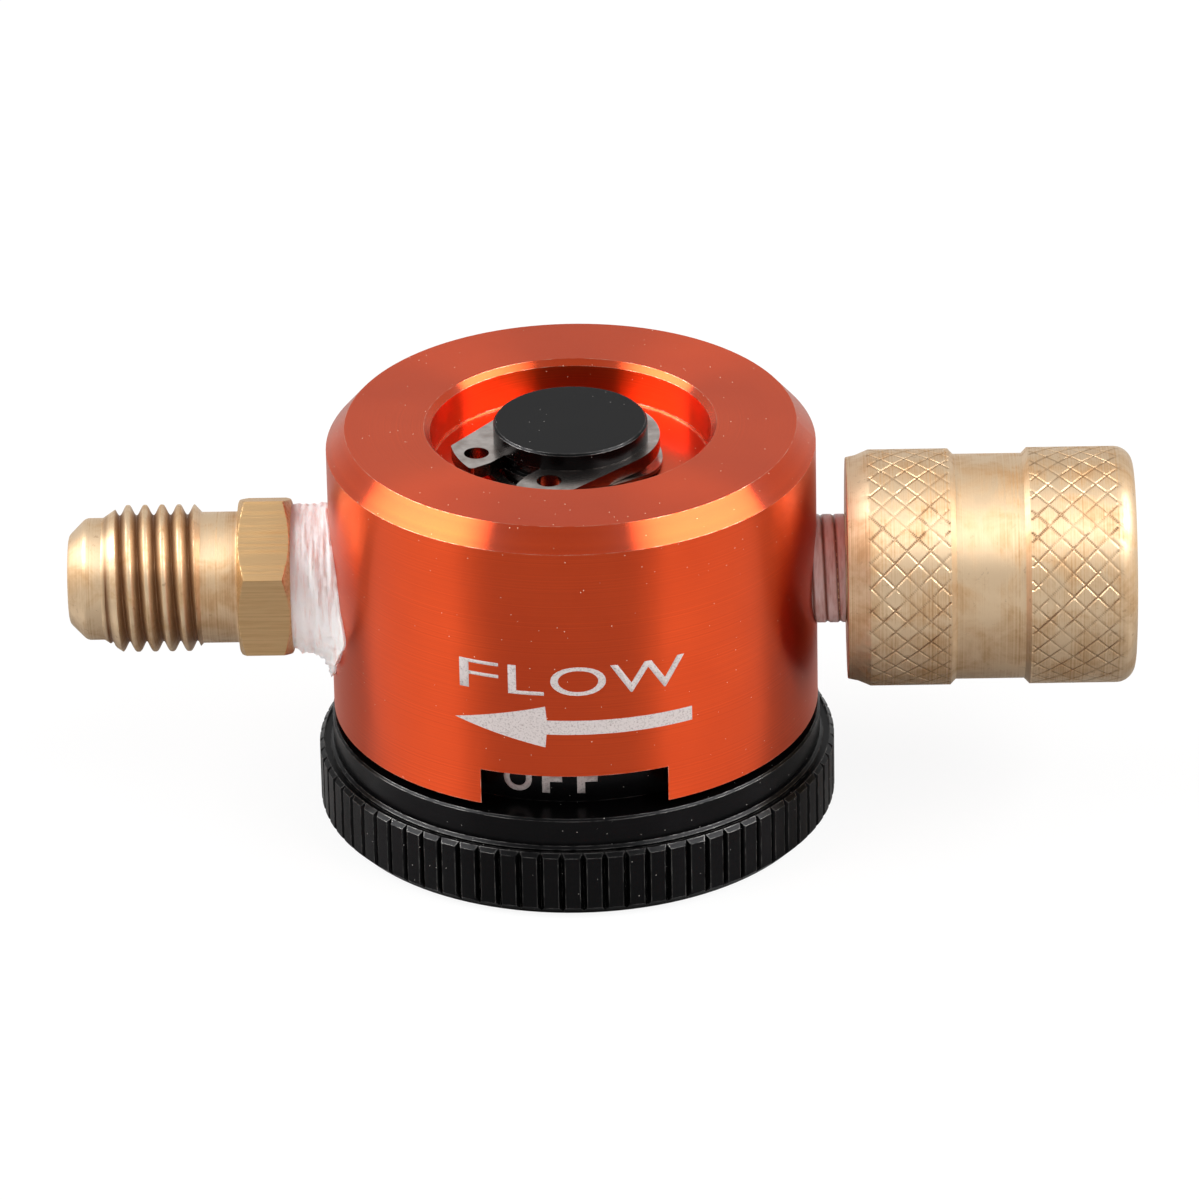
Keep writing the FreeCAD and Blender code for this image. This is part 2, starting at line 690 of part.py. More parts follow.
def make_seats():
    """A soft seat at each port, hollowed to the spindle's curve."""
    for label, name, side in (("inlet_seat", "InletSeat", ""), ("outlet_seat", "OutletSeat", "-")):
        back = side + "(PortReach - 2 * SeatRingSection - 2 * SeatRingPlay)"
        seat = turned_about_x(label, name, [
            (side + "SpindleRadius / 2", "SeatBoreRadius"),
            (back, "SeatBoreRadius"),
            (back, "SeatRadius"),
            (side + "SpindleRadius / 2", "SeatRadius"),
        ])
        hollow = new_sketch(seat, name + "Hollow", "XY_Plane")
        add_circle(hollow, "0", "0", "SpindleRadius + SeatClearance")
        pocket(seat, hollow, reverse=True)


def make_thrust_washer():
    low = "{drumTop} + AxialPlay"
    inner = "SpindleRadius + ThrustClearance"
    turned_about_z("thrust_washer", "ThrustSection", [
        (inner, low),
        ("ThrustOuterRadius", low),
        ("ThrustOuterRadius", low + " + ThrustThickness"),
        (inner, low + " + ThrustThickness"),
    ])


def make_click_stop():
    """Ball in the body's blind hole, and the coil spring that presses it down."""
    ball = document.addObject("Part::Sphere", "detent_ball")
    ball.Label = "detent_ball"
    ball.setExpression("Radius", text("BallRadius"))
    ball.setExpression("Placement", placed(y="{ballReach}", z="{ballCentre}"))
    parts.append(ball)
    contact = "pow(BallRadius + ClickWireRadius + BallClearance; 2) - pow({clickCoil}; 2)"
    foot = "({ballCentre} + sqrt(%s))" % contact
    head = "({ballHoleTop} - ClickWireRadius - BallClearance)"
    coil = document.addObject("Part::Helix", "ClickCoil")
    coil.setExpression("Radius", text("{clickCoil}"))
    coil.setExpression("Height", text(head + " - " + foot))
    coil.setExpression("Pitch", text("(%s - %s) / ClickTurns" % (head, foot)))
    wire = document.addObject("Part::Circle", "ClickWire")
    wire.setExpression("Radius", text("ClickWireRadius"))
    wire.setExpression("Placement", placed(x="{clickCoil}", turn="90", about="1; 0; 0"))
    spring = document.addObject("Part::Sweep", "detent_spring")
    spring.Label = "detent_spring"
    spring.Sections = [wire]
    spring.Spine = (coil, [])
    spring.Solid = True
    spring.Frenet = True
    spring.setExpression("Placement", placed(y="{ballReach}", z=foot))
    parts.append(spring)


def make_stop_pin():
    pin = new_body("stop_pin")
    sketch = new_sketch(pin, "StopPin", "XZ_Plane")
    low, high = "{stopPinBottom}", "({stopPinBottom} + StopPinLength)"
    add_outline(sketch, [
        ("0", low),
        ("StopPinRadius - StopPinChamfer", low),
        ("StopPinRadius", low + " + StopPinChamfer"),
        ("StopPinRadius", high + " - StopPinChamfer"),
        ("StopPinRadius - StopPinChamfer", high),
        ("0", high),
    ])
    revolve(pin, sketch, "V_Axis")
    across_x, across_y = polar("{stopPinReach}", "StopPinAzimuth")
    pin.setExpression("Placement", placed(x=across_x, y=across_y))


def make_outlet_fitting():
    """Male flare fitting: taper tail, hexagon, relief, thread and 45 degree nose."""
    corner = "(HexWidth / 2 / cos(30 deg))"
    flat = "(HexWidth / 2 - HexChamfer / 4)"
    fitting = turned_about_x("outlet_fitting", "OutletSection", [
        ("-PortReach", "OutletThroatRadius"),
        ("-PortReach", "OutletTailRadius"),
        ("-{hexEnd}", on_taper("OutletTailRadius", "{hexEnd}")),
        ("-{hexEnd}", flat),
        ("-({hexEnd} + HexChamfer)", corner),
        ("-({reliefStart} - HexChamfer)", corner),
        ("-{reliefStart}", flat),
        ("-{reliefStart}", "ReliefRadius"),
        ("-{flareThreadStart}", "ReliefRadius"),
        ("-({flareThreadStart} + FlareRunOut)", "FlareThreadRadius"),
        ("-({flareThreadEnd} - FlareRunIn)", "FlareThreadRadius"),
        ("-{flareThreadEnd}", "FlareNeckRadius"),
        ("-{neckEnd}", "FlareNeckRadius"),
        ("-{noseEnd}", "{noseRadius}"),
        ("-{noseEnd}", "OutletBoreRadius"),
        ("-(PortReach + OutletThroatLength)", "OutletBoreRadius"),
        ("-(PortReach + OutletThroatLength)", "OutletThroatRadius"),
    ])
    flats = new_sketch(fitting, "HexFlats", "YZ_Plane", y="{portLevel}", z="-{reliefStart}")
    add_circle(flats, "0", "0", "HexWidth")
    add_outline(flats, hexagon("HexWidth", "(180 - HexTurn)"))
    last = pocket(fitting, flats, length="HexLength", reverse=True)

    def is_nose_edge(edge):
        at_neck = is_ring(edge, -number("{neckEnd}"), number("FlareNeckRadius"))
        return at_neck or is_ring(edge, -number("{noseEnd}"), number("{noseRadius}"))

    round_edges(fitting, "NoseRounding", last, is_nose_edge, "FlareNoseRounding")


def make_inlet_nipple():
    """Taper tail in the body, neck through the coupler's rear wall, head inside the coupler."""
    nipple = turned_about_x("inlet_nipple", "NippleSection", [
        ("PortReach", "InletBoreRadius"),
        ("PortReach", "InletTailRadius"),
        ("{couplerStart}", on_taper("InletTailRadius", "{couplerStart}")),
        ("{couplerStart}", "InletNeckRadius"),
        ("{headStart}", "InletNeckRadius"),
        ("{headStart}", "{headRadius}"),
        ("{headEnd} - InletHeadChamfer", "{headRadius}"),
        ("{headEnd}", "{headRadius} - InletHeadChamfer"),
        ("{headEnd}", "InletBoreRadius"),
    ])
    socket = new_sketch(nipple, "NippleSocket", "YZ_Plane", y="{portLevel}", z="{headEnd}")
    add_outline(socket, hexagon("InletSocketWidth", "0"))
    pocket(nipple, socket, length="InletSocketDepth")


def make_coupler_nut():
    """Swivel nut: two grip bands with a neck between them, threaded at its open end."""
    band_end = "({couplerStart} + CouplerBandLength)"
    front_band = "({couplerEnd} - CouplerFrontRounding - CouplerFrontBandLength)"
    chamber = "{headRadius} + CouplerChamberClearance"
    relief = "GasketRadius + GasketClearance"
    nut = turned_about_x("coupler_nut", "NutSection", [
        ("{couplerStart}", "{rearBore}"),
        ("{couplerStart}", "CouplerRadius - CouplerRearDrop"),
        ("{couplerStart} + CouplerRearLand", "CouplerRadius - CouplerRearLandDrop"),
        ("{couplerStart} + CouplerRearChamfer", "CouplerRadius"),
        (band_end, "CouplerRadius"),
        (band_end + " + CouplerShoulder", "{couplerNeckRadius}"),
        (front_band + " - CouplerShoulder", "{couplerNeckRadius}"),
        (front_band, "CouplerRadius"),
        ("{couplerEnd}", "CouplerRadius"),
        ("{couplerEnd}", "FemaleThreadRadius + FemaleThreadChamfer"),
        ("{couplerEnd} - FemaleThreadChamfer", "FemaleThreadRadius"),
        ("{threadStart}", "FemaleThreadRadius"),
        ("{threadStart}", relief),
        ("{headEnd}", relief),
        ("{headEnd}", chamber),
        ("{chamberStart}", chamber),
        ("{chamberStart}", "{rearBore}"),
    ])

    def is_front_edge(edge):
        return is_ring(edge, number("{couplerEnd}"), number("CouplerRadius"))

    round_edges(nut, "FrontRounding", nut.Tip, is_front_edge, "CouplerFrontRounding")
    turned_about_x("coupler_gasket", "GasketSection", [
        ("{gasketStart}", "GasketBore"),
        ("{gasketStart}", "GasketRadius"),
        ("{gasketEnd}", "GasketRadius"),
        ("{gasketEnd}", "GasketBore"),
    ])


def make_thread_paste():
    """Paste between each fitting and the body, trimmed to the body's round side."""
    hex_radius = on_taper("OutletTailRadius", "{hexEnd}")
    inner = "(BodyRadius - PasteDepth)"
    inner_radius = on_taper("OutletTailRadius", inner)
    paste = turned_about_x("outlet_sealant", "PasteSection", [
        ("-{hexEnd}", hex_radius),
        ("-{hexEnd}", hex_radius + " + PasteThicknessAtHex"),
        ("-" + inner, inner_radius + " + PasteThicknessAtBody"),
        ("-" + inner, inner_radius),
    ])
    film_end = "({couplerStart} - 2 * CouplerPlay)"
    film_start = "(BodyRadius - FilmStart)"
    film = turned_about_x("inlet_sealant", "FilmSection", [
        (film_start, on_taper("InletTailRadius", film_start)),
        (film_end, on_taper("InletTailRadius", film_end)),
        (film_end, on_taper("InletTailRadius", film_end) + " + FilmThickness"),
        (film_start, on_taper("InletTailRadius", film_start) + " + FilmThickness"),
    ])
    for body in (paste, film):
        trim = new_sketch(body, body.Label.title().replace("_", "") + "Trim", "XY_Plane")
        add_circle(trim, "0", "0", "BodyRadius")
        pocket(body, trim, reverse=True)


def check_document():
    """Every object computed, and every sub-part a valid solid."""
    for item in document.Objects:
        if "Invalid" in item.State or "Error" in item.State:
            raise RuntimeError("%s is %s" % (item.Name, item.State))
    for part in parts:
        if part.Shape.isNull() or not part.Shape.isValid() or not part.Shape.Solids:
            raise RuntimeError("%s has no valid solid" % part.Label)


document = FreeCAD.newDocument("NitrogenFlowRegulator")
sheet = document.addObject("Spreadsheet::Sheet", "Sizes")
parts = []
fill_sheet()
make_body()
make_selector_dial()
make_jets()
make_retaining_ring()
make_wave_washer()
make_seal_rings()
make_seats()
make_thrust_washer()
make_click_stop()
make_stop_pin()
make_outlet_fitting()
make_inlet_nipple()
make_coupler_nut()
make_thread_paste()
document.recompute()
check_document()

os.makedirs("parts", exist_ok=True)
for part in parts:
    part.Shape.exportStep("parts/%s.step" % part.Label)
    print("%-18s %3d faces %10.2f mm3" % (part.Label, len(part.Shape.Faces), part.Shape.Volume))
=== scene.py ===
import json
import math

import bmesh
import bpy
from mathutils import Matrix, Vector


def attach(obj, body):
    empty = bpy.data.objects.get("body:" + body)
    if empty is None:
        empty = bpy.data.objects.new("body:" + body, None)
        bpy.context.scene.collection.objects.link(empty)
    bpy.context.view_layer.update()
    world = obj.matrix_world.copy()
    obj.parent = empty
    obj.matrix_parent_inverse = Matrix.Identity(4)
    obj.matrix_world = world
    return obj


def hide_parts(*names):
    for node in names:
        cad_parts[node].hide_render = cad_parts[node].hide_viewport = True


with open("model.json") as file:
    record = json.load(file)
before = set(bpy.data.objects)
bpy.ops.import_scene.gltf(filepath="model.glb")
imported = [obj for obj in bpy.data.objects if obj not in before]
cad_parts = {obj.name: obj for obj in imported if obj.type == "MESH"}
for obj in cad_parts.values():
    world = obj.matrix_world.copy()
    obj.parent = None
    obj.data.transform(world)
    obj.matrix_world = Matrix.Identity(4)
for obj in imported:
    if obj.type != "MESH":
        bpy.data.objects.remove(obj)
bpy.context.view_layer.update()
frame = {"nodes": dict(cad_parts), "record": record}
nodes = frame["nodes"]
mm = 0.001  # lengths below are in millimetres, and become metres when a mesh is made
portHeight = 18.75  # of the ports' axis above the table
nearly = 1e-7  # metres, below which two points are one
print("frame loaded:", len(nodes), "nodes")


def linear(hexColour):  # an sRGB hex value as the linear colour that nodes take
    channels = [int(hexColour[n:n + 2], 16) / 255 for n in (1, 3, 5)]
    return [c / 12.92 if c <= 0.04045 else ((c + 0.055) / 1.055) ** 2.4 for c in channels] + [1.0]


def addNode(tree, kind, inputs=None, **settings):  # inputs are values, sockets or nodes
    node = tree.nodes.new(kind)
    for name, value in settings.items():
        setattr(node, name, value)
    for key, value in (inputs or {}).items():
        if isinstance(value, bpy.types.Node):
            value = next(socket for socket in value.outputs if socket.enabled)
        if isinstance(value, bpy.types.NodeSocket):
            tree.links.new(value, node.inputs[key])
        else:
            node.inputs[key].default_value = value
    return node


def newMaterial(name):
    material = bpy.data.materials.new(name)
    material.use_nodes = True
    material.node_tree.nodes.clear()
    return material, material.node_tree


def addObject(name, data):
    thing = bpy.data.objects.new(name, data)
    bpy.context.scene.collection.objects.link(thing)
    return thing


def meshOf(thing):  # text or geometry nodes turned into plain faces
    bpy.context.view_layer.update()
    return bpy.data.meshes.new_from_object(thing.evaluated_get(bpy.context.evaluated_depsgraph_get()))


def direction(azimuth, elevation):  # azimuth 0 is the front, and 90 the coupler's side
    turn, rise = math.radians(azimuth), math.radians(elevation)
    return Vector((math.sin(turn) * math.cos(rise), -math.cos(turn) * math.cos(rise), math.sin(rise)))


# camera, at the photograph's place: distance and target in millimetres, angles in degrees
cameraSettings = {
    "distance": 699.7,
    "elevation": 27.68,
    "azimuth": 0.66,
    "roll": -1.15,
    "target": (1.94, 0.0, 16.34),
    "lens": 280.23,
    "sensor": 36.0,
    "clip": (0.01, 10),
}


def makeCamera(settings):
    back = direction(settings["azimuth"], settings["elevation"])
    roll = math.radians(settings["roll"])
    right = (-back).cross(Vector((0, 0, 1))).normalized()
    up = back.cross(right)
    across = math.cos(roll) * right + math.sin(roll) * up
    upright = -math.sin(roll) * right + math.cos(roll) * up
    data = bpy.data.cameras.new("camera")
    data.sensor_width = settings["sensor"]
    data.lens = settings["lens"]
    data.clip_start, data.clip_end = settings["clip"]
    camera = addObject("camera", data)
    turned = Matrix((across, upright, back)).transposed().to_4x4()
    place = (Vector(settings["target"]) + settings["distance"] * back) * mm
    camera.matrix_world = Matrix.Translation(place) @ turned
    bpy.context.scene.camera = camera


makeCamera(cameraSettings)

# studio: two softboxes on a white sweep
studioSettings = {
    "lamps": (
        # name, azimuth, elevation, distance, width, height in metres, brightness
        ("leftSoftbox", -86, 43, 0.8, 0.8, 0.38, 7.4),
        ("rightSoftbox", 73, 44, 0.8, 0.78, 0.38, 7.4),
    ),
    "fill": 0.3,
    "background": 1.0,
    "backdropInMetal": 0.7,
    "roomInMetal": 0.54,
    "roomEnds": -0.5,
    "backdropStarts": 0.35,
    "floorSize": 3.0,
    "floorColour": "#F4F4F3",
    "floorWhiteness": 0.9,
    "floorInMetal": 0.3,
    "floorGloss": 0.12,
    "floorIndex": 1.5,
}


def raySorts(tree):  # the light path, and 1 for the rays by which metal and glass see
    path = addNode(tree, "ShaderNodeLightPath")
    return path, addNode(tree, "ShaderNodeMath", {0: path.outputs["Is Glossy Ray"],
                                                  1: path.outputs["Is Transmission Ray"]},
                         operation="MAXIMUM")


def makeStudio(settings):
    for name, azimuth, elevation, distance, width, height, brightness in settings["lamps"]:
        lamp = bpy.data.lights.new(name, "AREA")
        lamp.shape = "RECTANGLE"
        lamp.size = width
        lamp.size_y = height
        lamp.energy = brightness * math.pi * width * height
        away = direction(azimuth, elevation)
        holder = addObject(name, lamp)
        holder.location = away * distance
        holder.rotation_mode = "QUATERNION"
        holder.rotation_quaternion = away.to_track_quat("Z", "Y")
    world = bpy.data.worlds.new("studio")
    world.use_nodes = True
    bpy.context.scene.world = world
    tree = world.node_tree
    tree.nodes.clear()
    path, mirrored = raySorts(tree)
    # metal shows a light backdrop behind the object, and a darker room in front of it
    way = addNode(tree, "ShaderNodeTexCoord")
    reach = addNode(tree, "ShaderNodeSeparateXYZ", {0: way.outputs["Generated"]})
    room = addNode(tree, "ShaderNodeMapRange", {
        "Value": reach.outputs["Y"],
        "From Min": settings["roomEnds"], "From Max": settings["backdropStarts"],
        "To Min": settings["roomInMetal"], "To Max": settings["backdropInMetal"]})
    dim = addNode(tree, "ShaderNodeMapRange", {"Value": mirrored, "To Min": settings["fill"],
                                               "To Max": room})
    strength = addNode(tree, "ShaderNodeMapRange", {"Value": path.outputs["Is Camera Ray"], "To Min": dim,
                                                    "To Max": settings["background"]})
    light = addNode(tree, "ShaderNodeBackground", {"Color": (1, 1, 1, 1), "Strength": strength})
    addNode(tree, "ShaderNodeOutputWorld", {"Surface": light})

    half = settings["floorSize"] / 2
    mesh = bpy.data.meshes.new("floor")
    corners = [(-half, -half, 0), (half, -half, 0), (half, half, 0), (-half, half, 0)]
    mesh.from_pydata(corners, [], [(0, 1, 2, 3)])
    floor = addObject("floor", mesh)
    material, tree = newMaterial("paleFloor")  # matte card, as white to the camera as the backdrop
    path, mirrored = raySorts(tree)
    share = addNode(tree, "ShaderNodeMath", {0: path.outputs["Is Camera Ray"],
                                             1: settings["floorWhiteness"]}, operation="MULTIPLY")
    grey = settings["floorInMetal"]
    card = addNode(tree, "ShaderNodeMix", {0: mirrored, 6: linear(settings["floorColour"]),
                                           7: (grey, grey, grey, 1)}, data_type="RGBA")
    matte = addNode(tree, "ShaderNodeBsdfDiffuse", {"Color": card.outputs[2]})
    white = addNode(tree, "ShaderNodeEmission", {"Color": (1, 1, 1, 1), "Strength": settings["background"]})
    mixed = addNode(tree, "ShaderNodeMixShader", {0: share, 1: matte, 2: white})
    # its gloss shows the softboxes again, from below, in the metal that stands on it
    fresnel = addNode(tree, "ShaderNodeFresnel", {"IOR": settings["floorIndex"]})
    seen = addNode(tree, "ShaderNodeMath", {0: fresnel, 1: mirrored}, operation="MULTIPLY")
    gloss = addNode(tree, "ShaderNodeBsdfAnisotropic", {"Color": seen,
                                                        "Roughness": settings["floorGloss"]})
    glossed = addNode(tree, "ShaderNodeAddShader", {0: mixed, 1: gloss})
    addNode(tree, "ShaderNodeOutputMaterial", {"Surface": glossed})
    mesh.materials.append(material)
    bpy.context.scene.view_settings.view_transform = "Standard"


makeStudio(studioSettings)
print("camera and studio made")


# materials

def millimetres(tree, height=0.0, stretch=(1, 1, 1)):  # object coordinates in millimetres, from that height
    place = addNode(tree, "ShaderNodeTexCoord")
    return addNode(tree, "ShaderNodeMapping", {"Vector": place.outputs["Object"],
                                               "Location": (0, 0, -height),
                                               "Scale": [1 / mm / s for s in stretch]})


def paint(tree, relief, depth, inputs):  # the shader with its fine relief, that many millimetres deep
    bump = addNode(tree, "ShaderNodeBump", {"Height": relief, "Strength": 1.0, "Distance": depth * mm})
    shader = addNode(tree, "ShaderNodeBsdfPrincipled", {"Normal": bump, **inputs})
    addNode(tree, "ShaderNodeOutputMaterial", {"Surface": shader})


def levelness(tree):  # 1 on a level face, 0 on an upright one
    place = addNode(tree, "ShaderNodeTexCoord")
    upright = addNode(tree, "ShaderNodeSeparateXYZ", {0: place.outputs["Normal"]})
    return addNode(tree, "ShaderNodeMath", {0: upright.outputs["Z"]}, operation="ABSOLUTE")


def latheMarks(tree, coordinates, axis, pitch):  # fine irregular rings that a tool leaves about an axis
    across = addNode(tree, "ShaderNodeVectorMath", {0: coordinates, 1: [1 - a for a in axis]},
                     operation="MULTIPLY")
    radius = addNode(tree, "ShaderNodeVectorMath", {0: across}, operation="LENGTH")
    along = addNode(tree, "ShaderNodeVectorMath", {0: coordinates, 1: [0.73 * a for a in axis]},
                    operation="DOT_PRODUCT")  # not quite 1, so that no chamfer runs along a single ring
    travel = addNode(tree, "ShaderNodeMath", {0: radius, 1: along}, operation="ADD")
    return addNode(tree, "ShaderNodeTexNoise", {"W": travel, "Scale": 1 / pitch, "Detail": 3.0,
                                                "Roughness": 0.6}, noise_dimensions="1D")


def specks(tree, coordinates, spacing, size, share):  # 1 on scattered specks of dust, 0 elsewhere
    cells = addNode(tree, "ShaderNodeTexVoronoi", {"Vector": coordinates, "Scale": 1 / spacing,
                                                   "Randomness": 1.0})
    near = addNode(tree, "ShaderNodeMath", {0: cells.outputs["Distance"], 1: size / spacing},
                   operation="LESS_THAN")
    chance = addNode(tree, "ShaderNodeSeparateColor", {"Color": cells.outputs["Color"]})
    chosen = addNode(tree, "ShaderNodeMath", {0: chance.outputs["Red"], 1: share}, operation="LESS_THAN")
    return addNode(tree, "ShaderNodeMath", {0: near, 1: chosen}, operation="MULTIPLY")


def ringTangent(tree, axis, height):  # direction of the turning marks at each point
    place = addNode(tree, "ShaderNodeTexCoord")
    centred = addNode(tree, "ShaderNodeVectorMath", {0: place.outputs["Object"], 1: (0, 0, height * mm)},
                      operation="SUBTRACT")
    around = addNode(tree, "ShaderNodeVectorMath", {0: axis, 1: centred}, operation="CROSS_PRODUCT")
    return addNode(tree, "ShaderNodeVectorTransform", {"Vector": around}, vector_type="VECTOR",
                   convert_from="OBJECT", convert_to="WORLD")


# anodised aluminium, turned and then dyed: metal under a clear oxide skin, fine tool rings, dust
anodisedFinishes = {
    "orangeAnodised": {
        "colour": "#E6511F", "shade": "#D4461A", "edge": "#FFF4EA", "wornAndHighlit": "#F2C4AE", "metallic": 1.0,
        "side": 0.3, "face": 0.22, "anisotropy": 1.0, "skin": 0.3, "skinRoughness": 0.3,
        "marks": 0.09, "depth": 0.0002,
        "dust": "#F0C8B0", "dustSpacing": 0.65, "dustSize": 0.036, "dustShare": 0.6},
    "blackAnodised": {
        "colour": "#131314", "shade": "#0E0E0F", "edge": "#E6E6E6", "wornAndHighlit": "#8C8A88", "metallic": 0.82,
        "side": 0.26, "face": 0.26, "anisotropy": 0.3, "skin": 0.0, "skinRoughness": 0.3,
        "marks": 0.2, "depth": 0.0004,
        "dust": "#9A9692", "dustSpacing": 0.65, "dustSize": 0.034, "dustShare": 0.6},
}
# sharp edges are painted lighter, partly dye rubbed off and partly painted highlight along them, as far as
# that many millimetres and where the surface bends most
edgeWearAndHighlight = {"reach": 0.09, "bendsLittle": 0.985, "bendsMuch": 0.91, "patches": 1.4}


def anodised(name, settings):
    material, tree = newMaterial(name)
    coordinates = millimetres(tree)
    marks = latheMarks(tree, coordinates, (0, 0, 1), settings["marks"])
    cloud = addNode(tree, "ShaderNodeTexNoise", {"Vector": coordinates, "Scale": 0.12, "Detail": 2.0})
    blend = addNode(tree, "ShaderNodeMath", {0: marks, 1: cloud}, operation="MULTIPLY")
    dyed = addNode(tree, "ShaderNodeMapRange", {"Value": blend, "From Min": 0.1, "From Max": 0.45})
    colour = addNode(tree, "ShaderNodeMix", {0: dyed, 6: linear(settings["shade"]),
                                             7: linear(settings["colour"])}, data_type="RGBA")
    dust = specks(tree, coordinates, settings["dustSpacing"], settings["dustSize"], settings["dustShare"])
    dusted = addNode(tree, "ShaderNodeMix", {0: dust, 6: colour.outputs[2], 7: linear(settings["dust"])},
                     data_type="RGBA")
    # painted highlight and wear: bent edges take the lighter worn colour, which also stands in for the
    # light they catch
    shape = addNode(tree, "ShaderNodeNewGeometry")
    rounded = addNode(tree, "ShaderNodeBevel", {"Radius": edgeWearAndHighlight["reach"] * mm}, samples=4)
    flatness = addNode(tree, "ShaderNodeVectorMath", {0: rounded, 1: shape.outputs["Normal"]},
                       operation="DOT_PRODUCT")
    edge = addNode(tree, "ShaderNodeMapRange", {"Value": flatness.outputs["Value"],
                                                "From Min": edgeWearAndHighlight["bendsLittle"],
                                                "From Max": edgeWearAndHighlight["bendsMuch"]})
    patchy = addNode(tree, "ShaderNodeTexNoise", {"Vector": coordinates, "Scale": edgeWearAndHighlight["patches"],
                                                  "Detail": 4.0})
    rubbed = addNode(tree, "ShaderNodeMapRange", {"Value": patchy, "From Min": 0.35, "From Max": 0.7})
    wornAndHighlit = addNode(tree, "ShaderNodeMath", {0: edge, 1: rubbed}, operation="MULTIPLY")
    dusted = addNode(tree, "ShaderNodeMix", {0: wornAndHighlit, 6: dusted.outputs[2], 7: linear(settings["wornAndHighlit"])},
                     data_type="RGBA")
    clean = addNode(tree, "ShaderNodeMath", {0: 1.0, 1: dust}, operation="SUBTRACT")
    metal = addNode(tree, "ShaderNodeMath", {0: clean, 1: settings["metallic"]}, operation="MULTIPLY")
    rough = addNode(tree, "ShaderNodeMapRange", {"Value": levelness(tree), "From Min": 0.2, "From Max": 0.6,
                                                 "To Min": settings["side"], "To Max": settings["face"]})
    paint(tree, marks, settings["depth"], {
        "Base Color": dusted.outputs[2], "Metallic": metal, "Roughness": rough,
        "Specular Tint": linear(settings["edge"]), "Coat Weight": settings["skin"],
        "Coat Roughness": settings["skinRoughness"], "Anisotropic": settings["anisotropy"],
        "Anisotropic Rotation": 0.25, "Tangent": ringTangent(tree, (0, 0, 1), 0)})
    return material


# brass about the ports' axis: warm metal with tool rings, dull patches and a few dark stains,
# and on the drawn bar of the hexagon fine straight lines along it
brassFinishes = {
    "turnedBrass": {"colour": "#E6CAA6", "dull": "#CBA77D", "stain": "#8E5F3C", "grimeAndShade": "#7A4A24",
                    "roughness": 0.45, "anisotropy": 0.5, "marks": 0.1, "depth": 0.005, "patch": 0.35,
                    "drawn": False},
    "drawnBrass": {"colour": "#CFAC7E", "dull": "#BC996A", "stain": "#7A5A34", "grimeAndShade": "#6B4023",
                   "roughness": 0.42, "anisotropy": 0.0, "marks": 0.12, "depth": 0.006, "patch": 0.9,
                   "drawn": True},
}
brassWear = {"lines": 0.35, "grimeAndShade": 0.8}  # shares of the tool's lines in the tone, and of grime and painted shade in grooves
drawnBar = {"marks": (0.06, 1, 1), "patches": (0.06, 3.4, 3.4)}  # how often each changes along x, y and z


def brass(name, settings):
    material, tree = newMaterial(name)
    coordinates = millimetres(tree, portHeight)
    if settings["drawn"]:
        drawn = addNode(tree, "ShaderNodeVectorMath", {0: coordinates, 1: drawnBar["marks"]},
                        operation="MULTIPLY")
        marks = addNode(tree, "ShaderNodeTexNoise", {"Vector": drawn, "Scale": 1 / settings["marks"],
                                                     "Detail": 4.0, "Roughness": 0.7})
        spread = addNode(tree, "ShaderNodeVectorMath", {0: coordinates, 1: drawnBar["patches"]},
                         operation="MULTIPLY")
    else:
        marks = latheMarks(tree, coordinates, (1, 0, 0), settings["marks"])
        spread = coordinates
    patches = addNode(tree, "ShaderNodeTexNoise", {"Vector": spread, "Scale": settings["patch"],
                                                   "Detail": 5.0, "Roughness": 0.62, "Distortion": 0.4})
    lined = addNode(tree, "ShaderNodeMath", {0: marks, 1: brassWear["lines"], 2: patches},
                    operation="MULTIPLY_ADD")
    dull = addNode(tree, "ShaderNodeMapRange", {"Value": lined, "From Min": 0.59, "From Max": 0.86})
    tone = addNode(tree, "ShaderNodeMix", {0: dull, 6: linear(settings["colour"]),
                                           7: linear(settings["dull"])}, data_type="RGBA")
    stains = addNode(tree, "ShaderNodeTexNoise", {"Vector": spread, "Scale": 1.1, "Detail": 6.0,
                                                  "Roughness": 0.7})
    stained = addNode(tree, "ShaderNodeMapRange", {"Value": stains, "From Min": 0.62, "From Max": 0.74,
                                                   "To Max": 0.7})
    colour = addNode(tree, "ShaderNodeMix", {0: stained, 6: tone.outputs[2], 7: linear(settings["stain"])},
                     data_type="RGBA")
    depth = addNode(tree, "ShaderNodeAttribute", attribute_name="cut")  # grime and painted shade darken the grooves
    groovesDarkened = addNode(tree, "ShaderNodeMath", {0: depth.outputs["Fac"], 1: brassWear["grimeAndShade"]},
                     operation="MULTIPLY")
    colour = addNode(tree, "ShaderNodeMix", {0: groovesDarkened, 6: colour.outputs[2], 7: linear(settings["grimeAndShade"])},
                     data_type="RGBA")
    wear = addNode(tree, "ShaderNodeMath", {0: marks, 1: dull, 2: 0.2}, operation="MULTIPLY_ADD")
    rough = addNode(tree, "ShaderNodeMapRange", {"Value": wear, "To Min": settings["roughness"] * 0.75,
                                                 "To Max": settings["roughness"] * 1.8})
    paint(tree, marks, settings["depth"], {
        "Base Color": colour.outputs[2], "Metallic": 1.0, "Roughness": rough,
        "Anisotropic": settings["anisotropy"], "Anisotropic Rotation": 0.25,
        "Tangent": ringTangent(tree, (1, 0, 0), portHeight)})
    return material


# steels: blanked strip for the ring and springs, polished for ball and pin
steelFinishes = {
    "blankedSpringSteel": {"colour": "#C6BEB9", "dark": "#A79C96", "shearedAndShaded": "#5C504B", "roughness": 0.24,
                           "grain": 1.3, "depth": 0.0006},
    "polishedSteel": {"colour": "#C9C9C8", "dark": "#B4B4B3", "shearedAndShaded": "#C9C9C8", "roughness": 0.12,
                      "grain": 0.8, "depth": 0.0004},
}


